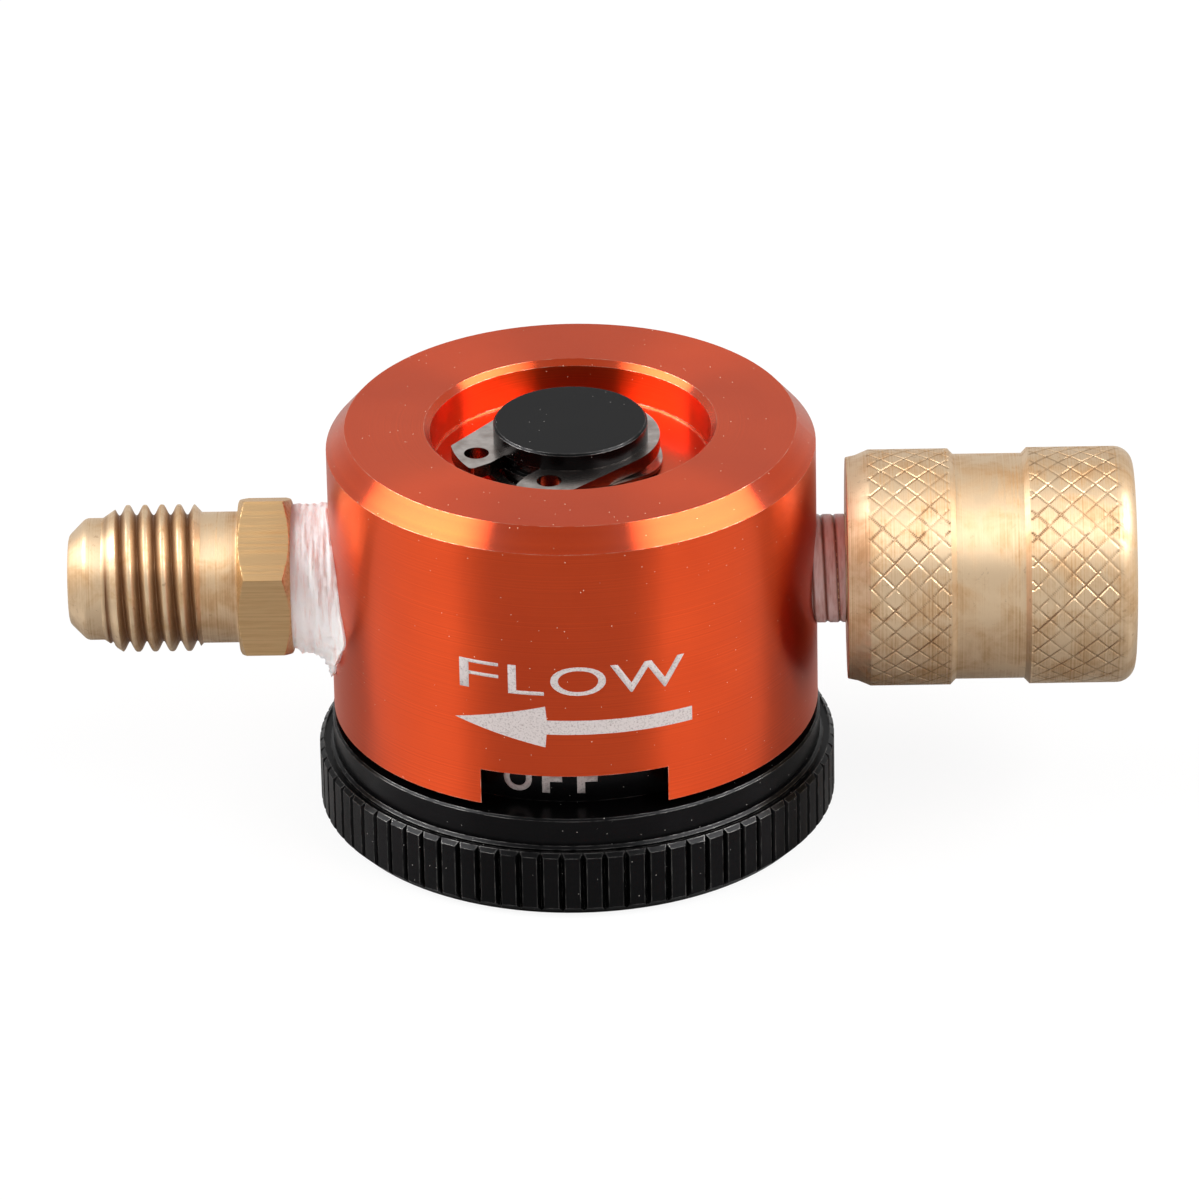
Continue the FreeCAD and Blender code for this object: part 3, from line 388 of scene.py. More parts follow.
def steel(name, settings):
    material, tree = newMaterial(name)
    coordinates = millimetres(tree)
    grain = addNode(tree, "ShaderNodeTexNoise", {"Vector": coordinates, "Scale": 1 / settings["grain"],
                                                 "Detail": 2.0, "Roughness": 0.5})
    tone = addNode(tree, "ShaderNodeMapRange", {"Value": grain, "From Min": 0.38, "From Max": 0.66})
    colour = addNode(tree, "ShaderNodeMix", {0: tone, 6: linear(settings["colour"]),
                                             7: linear(settings["dark"])}, data_type="RGBA")
    # upright faces take the darker sheared colour: on the ring, the blanked edge's own tone and painted
    # shade on its sides in the bore
    side = addNode(tree, "ShaderNodeMapRange", {"Value": levelness(tree), "From Min": 0.7, "From Max": 0.3})
    colour = addNode(tree, "ShaderNodeMix", {0: side, 6: colour.outputs[2], 7: linear(settings["shearedAndShaded"])},
                     data_type="RGBA")
    rough = addNode(tree, "ShaderNodeMapRange", {"Value": grain, "To Min": settings["roughness"] * 0.7,
                                                 "To Max": settings["roughness"] * 1.3})
    paint(tree, grain, settings["depth"], {"Base Color": colour.outputs[2], "Metallic": 1.0,
                                           "Roughness": rough})
    return material


# soft and printed finishes: moulded rubber, sawn PTFE, dried thread paste and screen print
softFinishes = {
    "mouldedRubber": {"colour": "#1B1B1C", "other": "#262627", "scale": 0.3, "low": 0.4, "high": 0.6,
                      "roughness": 0.6, "depth": 0.006, "level": 0.5, "through": 0.0},
    "sawnFluoropolymer": {"colour": "#E4E4E0", "other": "#D5D5D0", "scale": 0.5, "low": 0.4, "high": 0.6,
                          "roughness": 0.45, "depth": 0.004, "level": 0.5, "through": 0.2},
    "driedPaste": {"colour": "#E4E0DF", "other": "#E0C4BE", "scale": 0.7, "low": 0.52, "high": 0.74,
                   "roughness": 0.5, "depth": 0.08, "level": 0.4, "through": 0.3, "stretch": (0.35, 3, 3)},
    "pasteFilm": {"colour": "#D9C4C1", "other": "#B98E86", "groove": "#6E4232", "scale": 0.8, "low": 0.45,
                  "high": 0.72, "roughness": 0.28, "depth": 0.02, "level": 0.5, "through": 0.2,
                  "stretch": (0.4, 3, 3)},
    "screenPrint": {"colour": "#BFB6B4", "other": "#8B807E", "scale": 0.14, "low": 0.5, "high": 0.72,
                    "roughness": 0.55, "depth": 0.003, "level": 0.3, "through": 0.0},
}


def soft(name, settings):
    material, tree = newMaterial(name)
    coordinates = millimetres(tree, stretch=settings.get("stretch", (1, 1, 1)))
    grain = addNode(tree, "ShaderNodeTexNoise", {"Vector": coordinates, "Scale": 1 / settings["scale"],
                                                 "Detail": 4.0, "Roughness": 0.6})
    tone = addNode(tree, "ShaderNodeMapRange", {"Value": grain, "From Min": settings["low"],
                                                "From Max": settings["high"]})
    colour = addNode(tree, "ShaderNodeMix", {0: tone, 6: linear(settings["colour"]),
                                             7: linear(settings["other"])}, data_type="RGBA")
    if "groove" in settings:  # painted shade: the film is darker brown where the thread's grooves are deep
        depth = addNode(tree, "ShaderNodeAttribute", attribute_name="cut")
        colour = addNode(tree, "ShaderNodeMix", {0: depth.outputs["Fac"], 6: colour.outputs[2],
                                                 7: linear(settings["groove"])}, data_type="RGBA")
    paint(tree, grain, settings["depth"], {
        "Base Color": colour.outputs[2], "Roughness": settings["roughness"],
        "Specular IOR Level": settings["level"], "Subsurface Weight": settings["through"],
        "Subsurface Radius": (1.0, 0.6, 0.5), "Subsurface Scale": 0.8 * mm})
    return material


finishes = {}
for makeFinish, group in ((anodised, anodisedFinishes), (brass, brassFinishes), (steel, steelFinishes),
                          (soft, softFinishes)):
    finishes.update({name: makeFinish(name, settings) for name, settings in group.items()})
finishOfSlot = {
    "orange_anodised": "orangeAnodised", "black_anodised": "blackAnodised", "brass": "turnedBrass",
    "spring_steel": "blankedSpringSteel", "polished_steel": "polishedSteel",
    "black_rubber": "mouldedRubber", "white_ptfe": "sawnFluoropolymer", "thread_paste": "driedPaste",
}
for part in frame["record"]["subparts"]:
    surface = nodes[part["node"]].data.materials
    surface.clear()
    surface.append(finishes[finishOfSlot[part["material_slot"]]])
print("materials made:", len(finishes))


# meshes

def newPiece(mesh, finish):
    mesh.materials.clear()
    mesh.materials.append(finishes[finish])
    return addObject(mesh.name, mesh)


def meshWithCuts(name, points, faces, weights):  # weight: how deep a thread or knurl cuts there, 0 to 1
    mesh = bpy.data.meshes.new(name)
    mesh.from_pydata(points, [], faces)
    mesh.attributes.new("cut", "FLOAT", "POINT").data.foreach_set("value", weights)
    return mesh


def aroundPort(x, radius, angle):  # a point in metres
    return x * mm, radius * math.cos(angle) * mm, (portHeight + radius * math.sin(angle)) * mm


def latheAboutPorts(name, outline, segments, startAngle=0.0):  # outline: closed run of (x, radius, weight)
    points, faces, weights = [], [], []
    for x, radius, weight in outline:
        for n in range(segments):
            points.append(aroundPort(x, radius, math.radians(startAngle) + 2 * math.pi * n / segments))
            weights.append(weight)
    rows = len(outline)
    for row in range(rows):
        for n in range(segments):
            after = (n + 1) % segments
            low, high = row * segments, (row + 1) % rows * segments
            faces.append((low + n, low + after, high + after, high + n))
    return meshWithCuts(name, points, faces, weights)


def finer(start, end, step):  # stations from one to another, about a step apart
    count = max(1, round(abs(end - start) / step))
    return [start + (end - start) * n / count for n in range(count + 1)]


def closeUp(piece, sharpAngle):  # merged, faces outwards, smooth up to that angle
    shape = bmesh.new()
    shape.from_mesh(piece.data)
    bmesh.ops.remove_doubles(shape, verts=shape.verts, dist=nearly)
    bmesh.ops.recalc_face_normals(shape, faces=shape.faces)
    shape.to_mesh(piece.data)
    shape.free()
    piece.data.shade_smooth()
    piece.data.set_sharp_from_angle(angle=math.radians(sharpAngle))


def newGeometryTree(name, *sizes):
    tree = bpy.data.node_groups.new(name, "GeometryNodeTree")
    for label, kind in [("Geometry",) * 2, *((size, "Float") for size in sizes), ("Material",) * 2]:
        tree.interface.new_socket(name=label, in_out="INPUT", socket_type="NodeSocket" + kind)
    tree.interface.new_socket(name="Geometry", in_out="OUTPUT", socket_type="NodeSocketGeometry")
    return tree, addNode(tree, "NodeGroupInput").outputs


def finishTree(tree, geometry, material):
    real = addNode(tree, "GeometryNodeRealizeInstances", {0: geometry})
    painted = addNode(tree, "GeometryNodeSetMaterial", {"Geometry": real, "Material": material})
    addNode(tree, "NodeGroupOutput", {0: painted})


def applyTree(piece, tree, settings):  # sizes go in by identifier, and the result becomes the mesh
    settings = {**settings, "Material": piece.data.materials[0]}
    modifier = piece.modifiers.new(tree.name, "NODES")
    modifier.node_group = tree
    for item in tree.interface.items_tree:
        if item.in_out == "INPUT" and item.name in settings:
            modifier[item.identifier] = settings[item.name]
    made = meshOf(piece)
    piece.modifiers.remove(modifier)
    piece.data = made


def newCutPiece(mesh, finish, tree, settings, sharpAngle):
    piece = newPiece(mesh, finish)
    applyTree(piece, tree, settings)
    closeUp(piece, sharpAngle)
    return piece


def aroundPorts(tree):  # x, the arm from the ports' axis, its length and its turn from 0 to 1
    place = addNode(tree, "ShaderNodeSeparateXYZ", {0: addNode(tree, "GeometryNodeInputPosition")})
    rise = addNode(tree, "ShaderNodeMath", {0: place.outputs["Z"], 1: portHeight * mm},
                   operation="SUBTRACT")
    arm = addNode(tree, "ShaderNodeCombineXYZ", {"Y": place.outputs["Y"], "Z": rise})
    reach = addNode(tree, "ShaderNodeVectorMath", {0: arm}, operation="LENGTH")
    angle = addNode(tree, "ShaderNodeMath", {0: rise, 1: place.outputs["Y"]}, operation="ARCTAN2")
    turn = addNode(tree, "ShaderNodeMath", {0: angle, 1: 2 * math.pi}, operation="DIVIDE")
    return place.outputs["X"], arm, reach, turn


def cutToDepth(tree, entry, groove, arm, reach):  # moves points in to the groove, or out inside a nut
    weight = addNode(tree, "GeometryNodeInputNamedAttribute", {"Name": "cut"}, data_type="FLOAT")
    share = addNode(tree, "ShaderNodeMath", {0: groove, 1: weight}, operation="MULTIPLY")
    depth = addNode(tree, "ShaderNodeMath", {0: share, 1: entry["Depth"]}, operation="MULTIPLY")
    crest = addNode(tree, "ShaderNodeMath", {0: entry["Crest Radius"], 1: entry["Side"]},
                    operation="MULTIPLY")
    floor = addNode(tree, "ShaderNodeMath", {0: crest, 1: depth}, operation="SUBTRACT")
    now = addNode(tree, "ShaderNodeMath", {0: reach, 1: entry["Side"]}, operation="MULTIPLY")
    lower = addNode(tree, "ShaderNodeMath", {0: floor, 1: now}, operation="MINIMUM")
    change = addNode(tree, "ShaderNodeMath", {0: lower, 1: now}, operation="SUBTRACT")
    change = addNode(tree, "ShaderNodeMath", {0: change, 1: entry["Side"]}, operation="MULTIPLY")
    outwards = addNode(tree, "ShaderNodeVectorMath", {0: arm}, operation="NORMALIZE")
    move = addNode(tree, "ShaderNodeVectorMath", {0: outwards, "Scale": change}, operation="SCALE")
    chosen = addNode(tree, "FunctionNodeCompare", {0: weight, 1: 0.001}, operation="GREATER_THAN")
    moved = addNode(tree, "GeometryNodeSetPosition", {"Geometry": entry["Geometry"], "Selection": chosen,
                                                      "Offset": move})
    marked = addNode(tree, "GeometryNodeStoreNamedAttribute", {"Geometry": moved, "Name": "cut",
                                                               "Value": share},
                     data_type="FLOAT", domain="POINT")  # kept for the materials, which give deep grooves grime and painted shade
    finishTree(tree, marked, entry["Material"])


def fromMiddle(tree, count):  # how far a count of turns is from the middle between two whole ones, 0 to 0.5
    for operation, value in (("FRACT", 0.0), ("SUBTRACT", 0.5), ("ABSOLUTE", 0.0)):
        count = addNode(tree, "ShaderNodeMath", {0: count, 1: value}, operation=operation)
    return count


def makeThreadTree():
    tree, entry = newGeometryTree("threadCut", "Pitch", "Start", "Crest Radius", "Depth", "Side",
                                  "Crest Share", "Root Share")
    x, arm, reach, turn = aroundPorts(tree)
    along = addNode(tree, "ShaderNodeMath", {0: x, 1: entry["Start"]}, operation="ADD")
    lead = addNode(tree, "ShaderNodeMath", {0: along, 1: entry["Pitch"]}, operation="DIVIDE")
    phase = addNode(tree, "ShaderNodeMath", {0: lead, 1: turn}, operation="SUBTRACT")
    away = addNode(tree, "ShaderNodeMath", {0: fromMiddle(tree, phase), 1: 2.0}, operation="MULTIPLY")
    shoulder = addNode(tree, "ShaderNodeMath", {0: 1.0, 1: entry["Crest Share"]}, operation="SUBTRACT")
    groove = addNode(tree, "ShaderNodeMapRange", {"Value": away, "From Min": shoulder,
                                                  "From Max": entry["Root Share"]},
                     interpolation_type="SMOOTHSTEP")
    cutToDepth(tree, entry, groove, arm, reach)
    return tree


def makeKnurlTree():
    tree, entry = newGeometryTree("diamondKnurl", "Count", "Pitch", "Start", "Crest Radius", "Depth",
                                  "Side", "Half Width")
    x, arm, reach, turn = aroundPorts(tree)
    along = addNode(tree, "ShaderNodeMath", {0: x, 1: entry["Start"]}, operation="SUBTRACT")
    along = addNode(tree, "ShaderNodeMath", {0: along, 1: entry["Pitch"]}, operation="DIVIDE")
    around = addNode(tree, "ShaderNodeMath", {0: turn, 1: entry["Count"]}, operation="MULTIPLY")
    grooves = []
    for hand in ("ADD", "SUBTRACT"):
        line = addNode(tree, "ShaderNodeMath", {0: around, 1: along}, operation=hand)
        apart = addNode(tree, "ShaderNodeMath", {0: 0.5, 1: fromMiddle(tree, line)}, operation="SUBTRACT")
        grooves.append(addNode(tree, "ShaderNodeMapRange", {"Value": apart, "From Min": entry["Half Width"],
                                                            "From Max": 0.0}))
    groove = addNode(tree, "ShaderNodeMath", {0: grooves[0], 1: grooves[1]}, operation="MAXIMUM")
    # the tool bit unevenly, in places about 2 mm apart
    bite = addNode(tree, "ShaderNodeTexNoise", {"Vector": addNode(tree, "GeometryNodeInputPosition"),
                                                "Scale": 450.0, "Detail": 2.0})
    wear = addNode(tree, "ShaderNodeMapRange", {"Value": bite, "From Min": 0.35, "From Max": 0.65,
                                                "To Min": 0.45})
    groove = addNode(tree, "ShaderNodeMath", {0: groove, 1: wear}, operation="MULTIPLY")
    cutToDepth(tree, entry, groove, arm, reach)
    return tree


threadTree = makeThreadTree()
knurlTree = makeKnurlTree()

# outlet fitting: stations run from the inner end outwards, and x is minus the station
outletSettings = {
    "segments": 192, "innerEnd": 11.8, "tailRadius": 4.863, "tailRow": 1.0, "taper": 0.03125,
    "hexEnd": 20.98, "hexWidth": 11.5, "hexLength": 3.96, "hexChamfer": 0.55, "hexDrop": 0.14,
    "hexRow": 0.035, "hexTurn": 155.3, "hexSide": 5.3, "reliefRadius": 4.9, "reliefLength": 2.78,
    "threadRadius": 5.5, "threadLength": 7.4, "threadRow": 0.053, "runIn": 1.4, "runOut": 0.55,
    "neckRadius": 4.56, "neckLength": 1.28, "noseLength": 1.3, "rounding": 0.7, "edge": 0.15,
    "boreRadius": 2.4, "throatRadius": 1.6, "throatLength": 4.0,
}
flareThread = {"Pitch": 1.27 * mm, "Crest Radius": 5.5 * mm, "Depth": 0.78 * mm, "Side": 1.0,
               "Crest Share": 0.12, "Root Share": 0.0, "Start": 0.45 * mm}


def makeOutletFitting(s):
    hexStart = s["hexEnd"] + s["hexLength"]
    threadStart = hexStart + s["reliefLength"]
    threadEnd = threadStart + s["threadLength"]
    neckEnd = threadEnd + s["neckLength"]
    tip = neckEnd + s["noseLength"]
    flat = s["hexWidth"] / 2
    corner = flat / math.cos(math.radians(30))
    outline = [(s["innerEnd"], s["throatRadius"], 0), (s["innerEnd"], s["tailRadius"], 0)]
    outline += [(x, s["tailRadius"] + s["taper"] * (x - s["innerEnd"]), 0)
                for x in finer(s["innerEnd"] + s["tailRow"] / 2, s["hexEnd"], s["tailRow"])]
    face = flat - s["hexDrop"]  # radius of the round faces that the chamfers leave at both ends
    for x in finer(s["hexEnd"], s["hexEnd"] + s["hexChamfer"], s["hexRow"]):
        outline.append((x, face + (x - s["hexEnd"]) / s["hexChamfer"] * (corner - face), 0))
    for x in finer(hexStart - s["hexChamfer"], hexStart, s["hexRow"]):
        outline.append((x, face + (hexStart - x) / s["hexChamfer"] * (corner - face), 0))
    outline += [(hexStart, s["reliefRadius"] + s["edge"], 0), (hexStart + s["edge"], s["reliefRadius"], 0)]
    for x in finer(threadStart, threadEnd, s["threadRow"]):
        outwards = (x - threadStart) / s["runOut"]
        inwards = (threadEnd - x) / s["runIn"]
        radius = min(s["reliefRadius"] + outwards * (s["threadRadius"] - s["reliefRadius"]),
                     s["threadRadius"], s["neckRadius"] + inwards * (s["threadRadius"] - s["neckRadius"]))
        # the thread deepens sooner at both ends than its crests rise
        outline.append((x, radius, min(1.0, 2 * outwards, 4 * inwards)))
    tipRadius = s["neckRadius"] - s["noseLength"]
    # both edges of the 45 degree nose are rounded off, each by an arc of an eighth of a turn
    reach = s["rounding"] * math.tan(math.radians(22.5))
    for turn in range(0, 46, 9):
        arc = math.radians(turn)
        outline.append((neckEnd - reach + s["rounding"] * math.sin(arc),
                        s["neckRadius"] - s["rounding"] * (1 - math.cos(arc)), 0))
    for turn in range(45, 91, 9):
        arc = math.radians(turn)
        outline.append((tip - s["rounding"] * (1 - math.sin(arc)),
                        tipRadius - reach + s["rounding"] * math.cos(arc), 0))
    outline += [(tip, s["boreRadius"] + s["edge"], 0), (tip - s["edge"], s["boreRadius"], 0),
                (s["innerEnd"] + s["throatLength"], s["boreRadius"], 0),
                (s["innerEnd"] + s["throatLength"], s["throatRadius"], 0)]
    outline = [(-x, radius, weight) for x, radius, weight in outline]
    mesh = latheAboutPorts("outletFitting", outline, s["segments"], s["hexTurn"])
    step = math.radians(60)
    for vertex in mesh.vertices:  # flats of the hexagon
        if -hexStart * mm - nearly <= vertex.co.x <= -s["hexEnd"] * mm + nearly:
            rise = vertex.co.z - portHeight * mm
            reach = math.hypot(vertex.co.y, rise)
            turn = (math.atan2(rise, vertex.co.y) - math.radians(s["hexTurn"])) % step - step / 2
            limit = flat * mm / math.cos(turn)
            if reach > limit:
                vertex.co.y *= limit / reach
                vertex.co.z = portHeight * mm + rise * limit / reach
    return mesh


outlet = newCutPiece(makeOutletFitting(outletSettings), "turnedBrass", threadTree, flareThread, 32)
outlet.data.materials.append(finishes["drawnBrass"])
hexStarts, hexLength = outletSettings["hexEnd"] * mm, outletSettings["hexLength"] * mm
for face in outlet.data.polygons:  # the hexagon shows the drawn bar
    inHex = hexStarts < -face.center.x < hexStarts + hexLength
    outside = math.hypot(face.center.y, face.center.z - portHeight * mm) > outletSettings["hexSide"] * mm
    face.material_index = 1 if inHex and outside else 0
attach(outlet, "housing")
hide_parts("outlet_fitting")
print("outlet fitting made:", len(outlet.data.polygons), "faces")

# swivel coupler: two knurled bands and a thread inside, which has a lining of its own
couplerSettings = {
    "segments": 496, "start": 20.4, "rearDrop": 0.55, "rearLand": 0.75, "rearLandDrop": 0.4,
    "rearChamfer": 1.7, "radius": 8.83, "rearBand": 28.0, "neckRadius": 8.41, "neckInset": 0.8,
    "neckRow": 1.0, "shoulder": 0.45, "frontBand": 34.0, "rounding": 1.45, "end": 41.85, "edge": 0.05,
    # rows in one diamond of the knurl, and degrees of the rounding over which it fades
    "knurlRows": 16, "knurlFades": 30,
    "threadSegments": 128, "threadRadius": 4.97, "threadChamfer": 0.8, "threadStart": 32.48,
    "threadRunOut": 0.4, "threadRow": 0.09, "gasketRecess": 5.75, "headEnd": 30.56, "chamber": 5.0,
    "chamberStart": 27.4, "rearBore": 4.2,
    # room for the lining, how far it keeps from the nut's faces, and where its back meets the front
    "lining": 0.3, "clear": 0.01, "liningInset": 0.6, "liningDepth": 0.5,
}
couplerKnurl = {"Count": 31.0, "Pitch": 1.76 * mm, "Start": 22.1 * mm, "Crest Radius": 8.83 * mm,
                "Depth": 0.12 * mm, "Side": 1.0, "Half Width": 0.06}
innerThread = {"Pitch": 1.27 * mm, "Crest Radius": 4.97 * mm, "Depth": 0.6 * mm, "Side": -1.0,
               "Crest Share": 0.25, "Root Share": 0.15, "Start": 0.0}


def makeCouplerOutside(s):
    step = couplerKnurl["Pitch"] / mm / s["knurlRows"]
    bandStart = s["start"] + s["rearChamfer"]
    outline = [(s["start"], s["rearBore"], 0), (s["start"], s["radius"] - s["rearDrop"] - s["edge"], 0),
               (s["start"] + s["edge"], s["radius"] - s["rearDrop"], 0),
               (s["start"] + s["rearLand"], s["radius"] - s["rearLandDrop"], 0)]
    fall = s["rearLandDrop"] / (s["rearChamfer"] - s["rearLand"])
    for weight, n in enumerate((-2, -1)):  # the knurl cuts in one step before its band
        outline.append((bandStart + step * n, s["radius"] + step * n * fall, weight))
    for x in [bandStart + step * n for n in range(int((s["rearBand"] - bandStart) / step) + 1)]:
        outline.append((x, s["radius"], 1))
    outline += [(s["rearBand"] + s["edge"], s["radius"], 0),
                (s["rearBand"] + s["shoulder"], s["neckRadius"], 0)]
    outline += [(x, s["neckRadius"], 0) for x in finer(
        s["rearBand"] + s["neckInset"], s["frontBand"] - s["neckInset"], s["neckRow"])]
    outline += [(s["frontBand"] - s["shoulder"], s["neckRadius"], 0),
                (s["frontBand"] - s["edge"], s["radius"], 0)]
    roundStart = s["end"] - s["rounding"]
    first = math.ceil((s["frontBand"] - bandStart) / step)
    last = int((roundStart - bandStart) / step)
    outline += [(bandStart + step * n, s["radius"], 1) for n in range(first, last + 1)]
    for turn in range(0, 91, 6):
        arc = math.radians(turn)
        outline.append((roundStart + s["rounding"] * math.sin(arc),
                        s["radius"] - s["rounding"] * (1 - math.cos(arc)),
                        max(0.0, 1 - turn / s["knurlFades"])))
    outline += [(s["end"], s["threadRadius"] + s["threadChamfer"], 0),
                (s["threadStart"] - s["edge"], s["gasketRecess"] + s["lining"], 0),
                (s["headEnd"], s["gasketRecess"] + s["lining"], 0),
                (s["headEnd"], s["chamber"], 0), (s["chamberStart"], s["chamber"], 0),
                (s["chamberStart"], s["rearBore"], 0)]
    return latheAboutPorts("couplerNut", outline, s["segments"])


def makeCouplerInside(s):
    mouth = s["threadRadius"] + s["threadChamfer"]
    outline = [(s["end"] - s["clear"], mouth + 2 * s["clear"], 0)]
    outline += [(x, s["threadRadius"], 1) for x in finer(
        s["end"] - s["threadChamfer"], s["threadStart"] + s["threadRunOut"], s["threadRow"])]
    outline += [(s["threadStart"], s["threadRadius"], 0), (s["threadStart"], s["gasketRecess"], 0),
                (s["headEnd"] + s["clear"], s["gasketRecess"], 0),
                (s["headEnd"] + s["clear"], s["gasketRecess"] + s["lining"] - s["edge"], 0),
                (s["end"] - s["liningInset"], mouth + s["liningDepth"], 0)]
    return latheAboutPorts("couplerThread", outline, s["threadSegments"])


coupler = newCutPiece(makeCouplerOutside(couplerSettings), "turnedBrass", knurlTree, couplerKnurl, 28)
couplerThread = newCutPiece(makeCouplerInside(couplerSettings), "turnedBrass", threadTree, innerThread, 30)
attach(coupler, "coupler")
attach(couplerThread, "coupler")
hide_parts("coupler_nut")
print("coupler made:", len(coupler.data.polygons), "faces")

# nipple's shank: a film of paste lies in its taper thread
filmSettings = {"start": 17.0, "end": 20.28, "radius": 4.06, "inner": 3.6, "row": 0.05, "segments": 144}
shankThread = {"Pitch": 0.94 * mm, "Crest Radius": 4.06 * mm, "Depth": 0.12 * mm, "Side": 1.0,
               "Crest Share": 0.6, "Root Share": 0.0, "Start": 0.0}


def makePasteFilm(s):
    outline = [(s["start"], s["inner"], 0)]
    outline += [(x, s["radius"], 1) for x in finer(s["start"], s["end"], s["row"])]
    outline += [(s["end"], s["inner"], 0)]
    return latheAboutPorts("inletPaste", outline, s["segments"])


film = newCutPiece(makePasteFilm(filmSettings), "pasteFilm", threadTree, shankThread, 40)
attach(film, "housing")
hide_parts("inlet_sealant")

# paste squeezed out between the hexagon and the body, smeared downwards on the body's side
pasteSettings = {
    "hexEnd": 20.98, "bodyRadius": 18.2, "hexRadius": 5.35, "innerRadius": 4.8, "film": 0.16,
    "edgeRadius": 5.45, "flare": 2.6, "lean": 1.5, "swells": 6, "rows": 26, "segments": 300,
    "rim": (0.35, 0.15), "root": 0.8,  # how far rim and root of its back go into the body, and the rim in
    # turn about the ports' axis in degrees from +Y, half width and reach of each lobe
    "lobes": ((198, 14, 1.5), (222, 16, 1.15), (246, 13, 1.7), (100, 20, 0.5)),
}
pasteLumps = {"Streak": 0.6 * mm, "Lump": 1.8 * mm, "Top": 17.5 * mm, "Bottom": 13.8 * mm}


def makeOutletPaste(s):
    points, faces, weights = [], [], []
    last = s["rows"]
    for n in range(s["segments"]):
        angle = 2 * math.pi * n / s["segments"]
        turn = math.degrees(angle)
        edge = s["edgeRadius"] + sum(reach * math.exp(-((turn - middle) / width) ** 2)
                                     for middle, width, reach in s["lobes"])
        column = [(-s["hexEnd"], s["innerRadius"], 0.0)]
        for row in range(last + 1):
            t = row / last
            radius = s["hexRadius"] + (edge - s["hexRadius"]) * t ** s["flare"]
            wall = -math.sqrt(s["bodyRadius"] ** 2 - (radius * math.cos(angle)) ** 2) - s["film"]
            x = -s["hexEnd"] + (wall + s["hexEnd"]) * (1 - (1 - t) ** s["lean"])
            column.append((x, radius, min(1.0, s["swells"] * t)))
        wall = -math.sqrt(s["bodyRadius"] ** 2 - (edge * math.cos(angle)) ** 2)
        column += [(wall + s["rim"][0], edge - s["rim"][1], 0.0), (wall + s["root"], s["innerRadius"], 0.0)]
        for x, radius, weight in column:
            points.append(aroundPort(x, radius, angle))
            weights.append(weight)
    rows = len(column)
    for n in range(s["segments"]):
        here, there = n * rows, (n + 1) % s["segments"] * rows
        for row in range(rows):
            after = (row + 1) % rows
            faces.append((here + row, here + after, there + after, there + row))
    return meshWithCuts("outletPaste", points, faces, weights)


def makePasteTree():  # brush streaks round the ports' axis, and 1 mm lumps that grow towards the bottom
    tree, entry = newGeometryTree("pasteLumps", "Streak", "Lump", "Top", "Bottom")
    # the noises lie about 0.5, so streaks go in and out, and lumps mostly out
    place = addNode(tree, "GeometryNodeInputPosition")
    drawn = addNode(tree, "ShaderNodeVectorMath", {0: place, 1: (2600, 260, 260)}, operation="MULTIPLY")
    streaks = addNode(tree, "ShaderNodeTexNoise", {"Vector": drawn, "Scale": 1.0, "Detail": 3.0})
    streak = addNode(tree, "ShaderNodeMath", {0: streaks, 1: 0.5}, operation="SUBTRACT")
    streak = addNode(tree, "ShaderNodeMath", {0: streak, 1: entry["Streak"]}, operation="MULTIPLY")
    lumps = addNode(tree, "ShaderNodeTexNoise", {"Vector": place, "Scale": 900.0, "Detail": 4.0,
                                                 "Roughness": 0.6, "Distortion": 0.6})
    lump = addNode(tree, "ShaderNodeMath", {0: lumps, 1: 0.42}, operation="SUBTRACT")
    lump = addNode(tree, "ShaderNodeMath", {0: lump, 1: entry["Lump"]}, operation="MULTIPLY")
    height = addNode(tree, "ShaderNodeSeparateXYZ", {0: place})
    low = addNode(tree, "ShaderNodeMapRange", {"Value": height.outputs["Z"], "From Min": entry["Top"],
                                               "From Max": entry["Bottom"], "To Min": 0.15})
    lump = addNode(tree, "ShaderNodeMath", {0: lump, 1: low}, operation="MULTIPLY")
    both = addNode(tree, "ShaderNodeMath", {0: streak, 1: lump}, operation="ADD")
    weight = addNode(tree, "GeometryNodeInputNamedAttribute", {"Name": "cut"}, data_type="FLOAT")
    both = addNode(tree, "ShaderNodeMath", {0: both, 1: weight}, operation="MULTIPLY")
    normal = addNode(tree, "GeometryNodeInputNormal")
    move = addNode(tree, "ShaderNodeVectorMath", {0: normal, "Scale": both}, operation="SCALE")
    moved = addNode(tree, "GeometryNodeSetPosition", {"Geometry": entry["Geometry"], "Offset": move})
    finishTree(tree, moved, entry["Material"])
    return tree


paste = newPiece(makeOutletPaste(pasteSettings), "driedPaste")
closeUp(paste, 60)
applyTree(paste, makePasteTree(), pasteLumps)
closeUp(paste, 60)
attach(paste, "housing")
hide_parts("outlet_sealant")
print("thread paste made")

# counterbore: the tool's nose leaves a small rounded corner between its wall and floor
cornerSettings = {"radius": 10.45, "floor": 28.0, "rounding": 0.2, "sunk": 0.05, "segments": 256}


def makeBoreCorner(s):
    outline = [(s["floor"] - s["sunk"], s["radius"] + s["sunk"], 0)]
    for turn in range(0, 91, 15):
        arc = math.radians(turn)
        outline.append((s["floor"] + s["rounding"] * (1 - math.cos(arc)),
                        s["radius"] - s["rounding"] * (1 - math.sin(arc)), 0))
    mesh = latheAboutPorts("boreCorner", outline, s["segments"])
    for vertex in mesh.vertices:  # stood upright: what ran along the ports now is height
        x, y, z = vertex.co
        vertex.co = (y, z - portHeight * mm, x)
    return mesh


corner = newPiece(makeBoreCorner(cornerSettings), "orangeAnodised")
closeUp(corner, 40)
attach(corner, "housing")

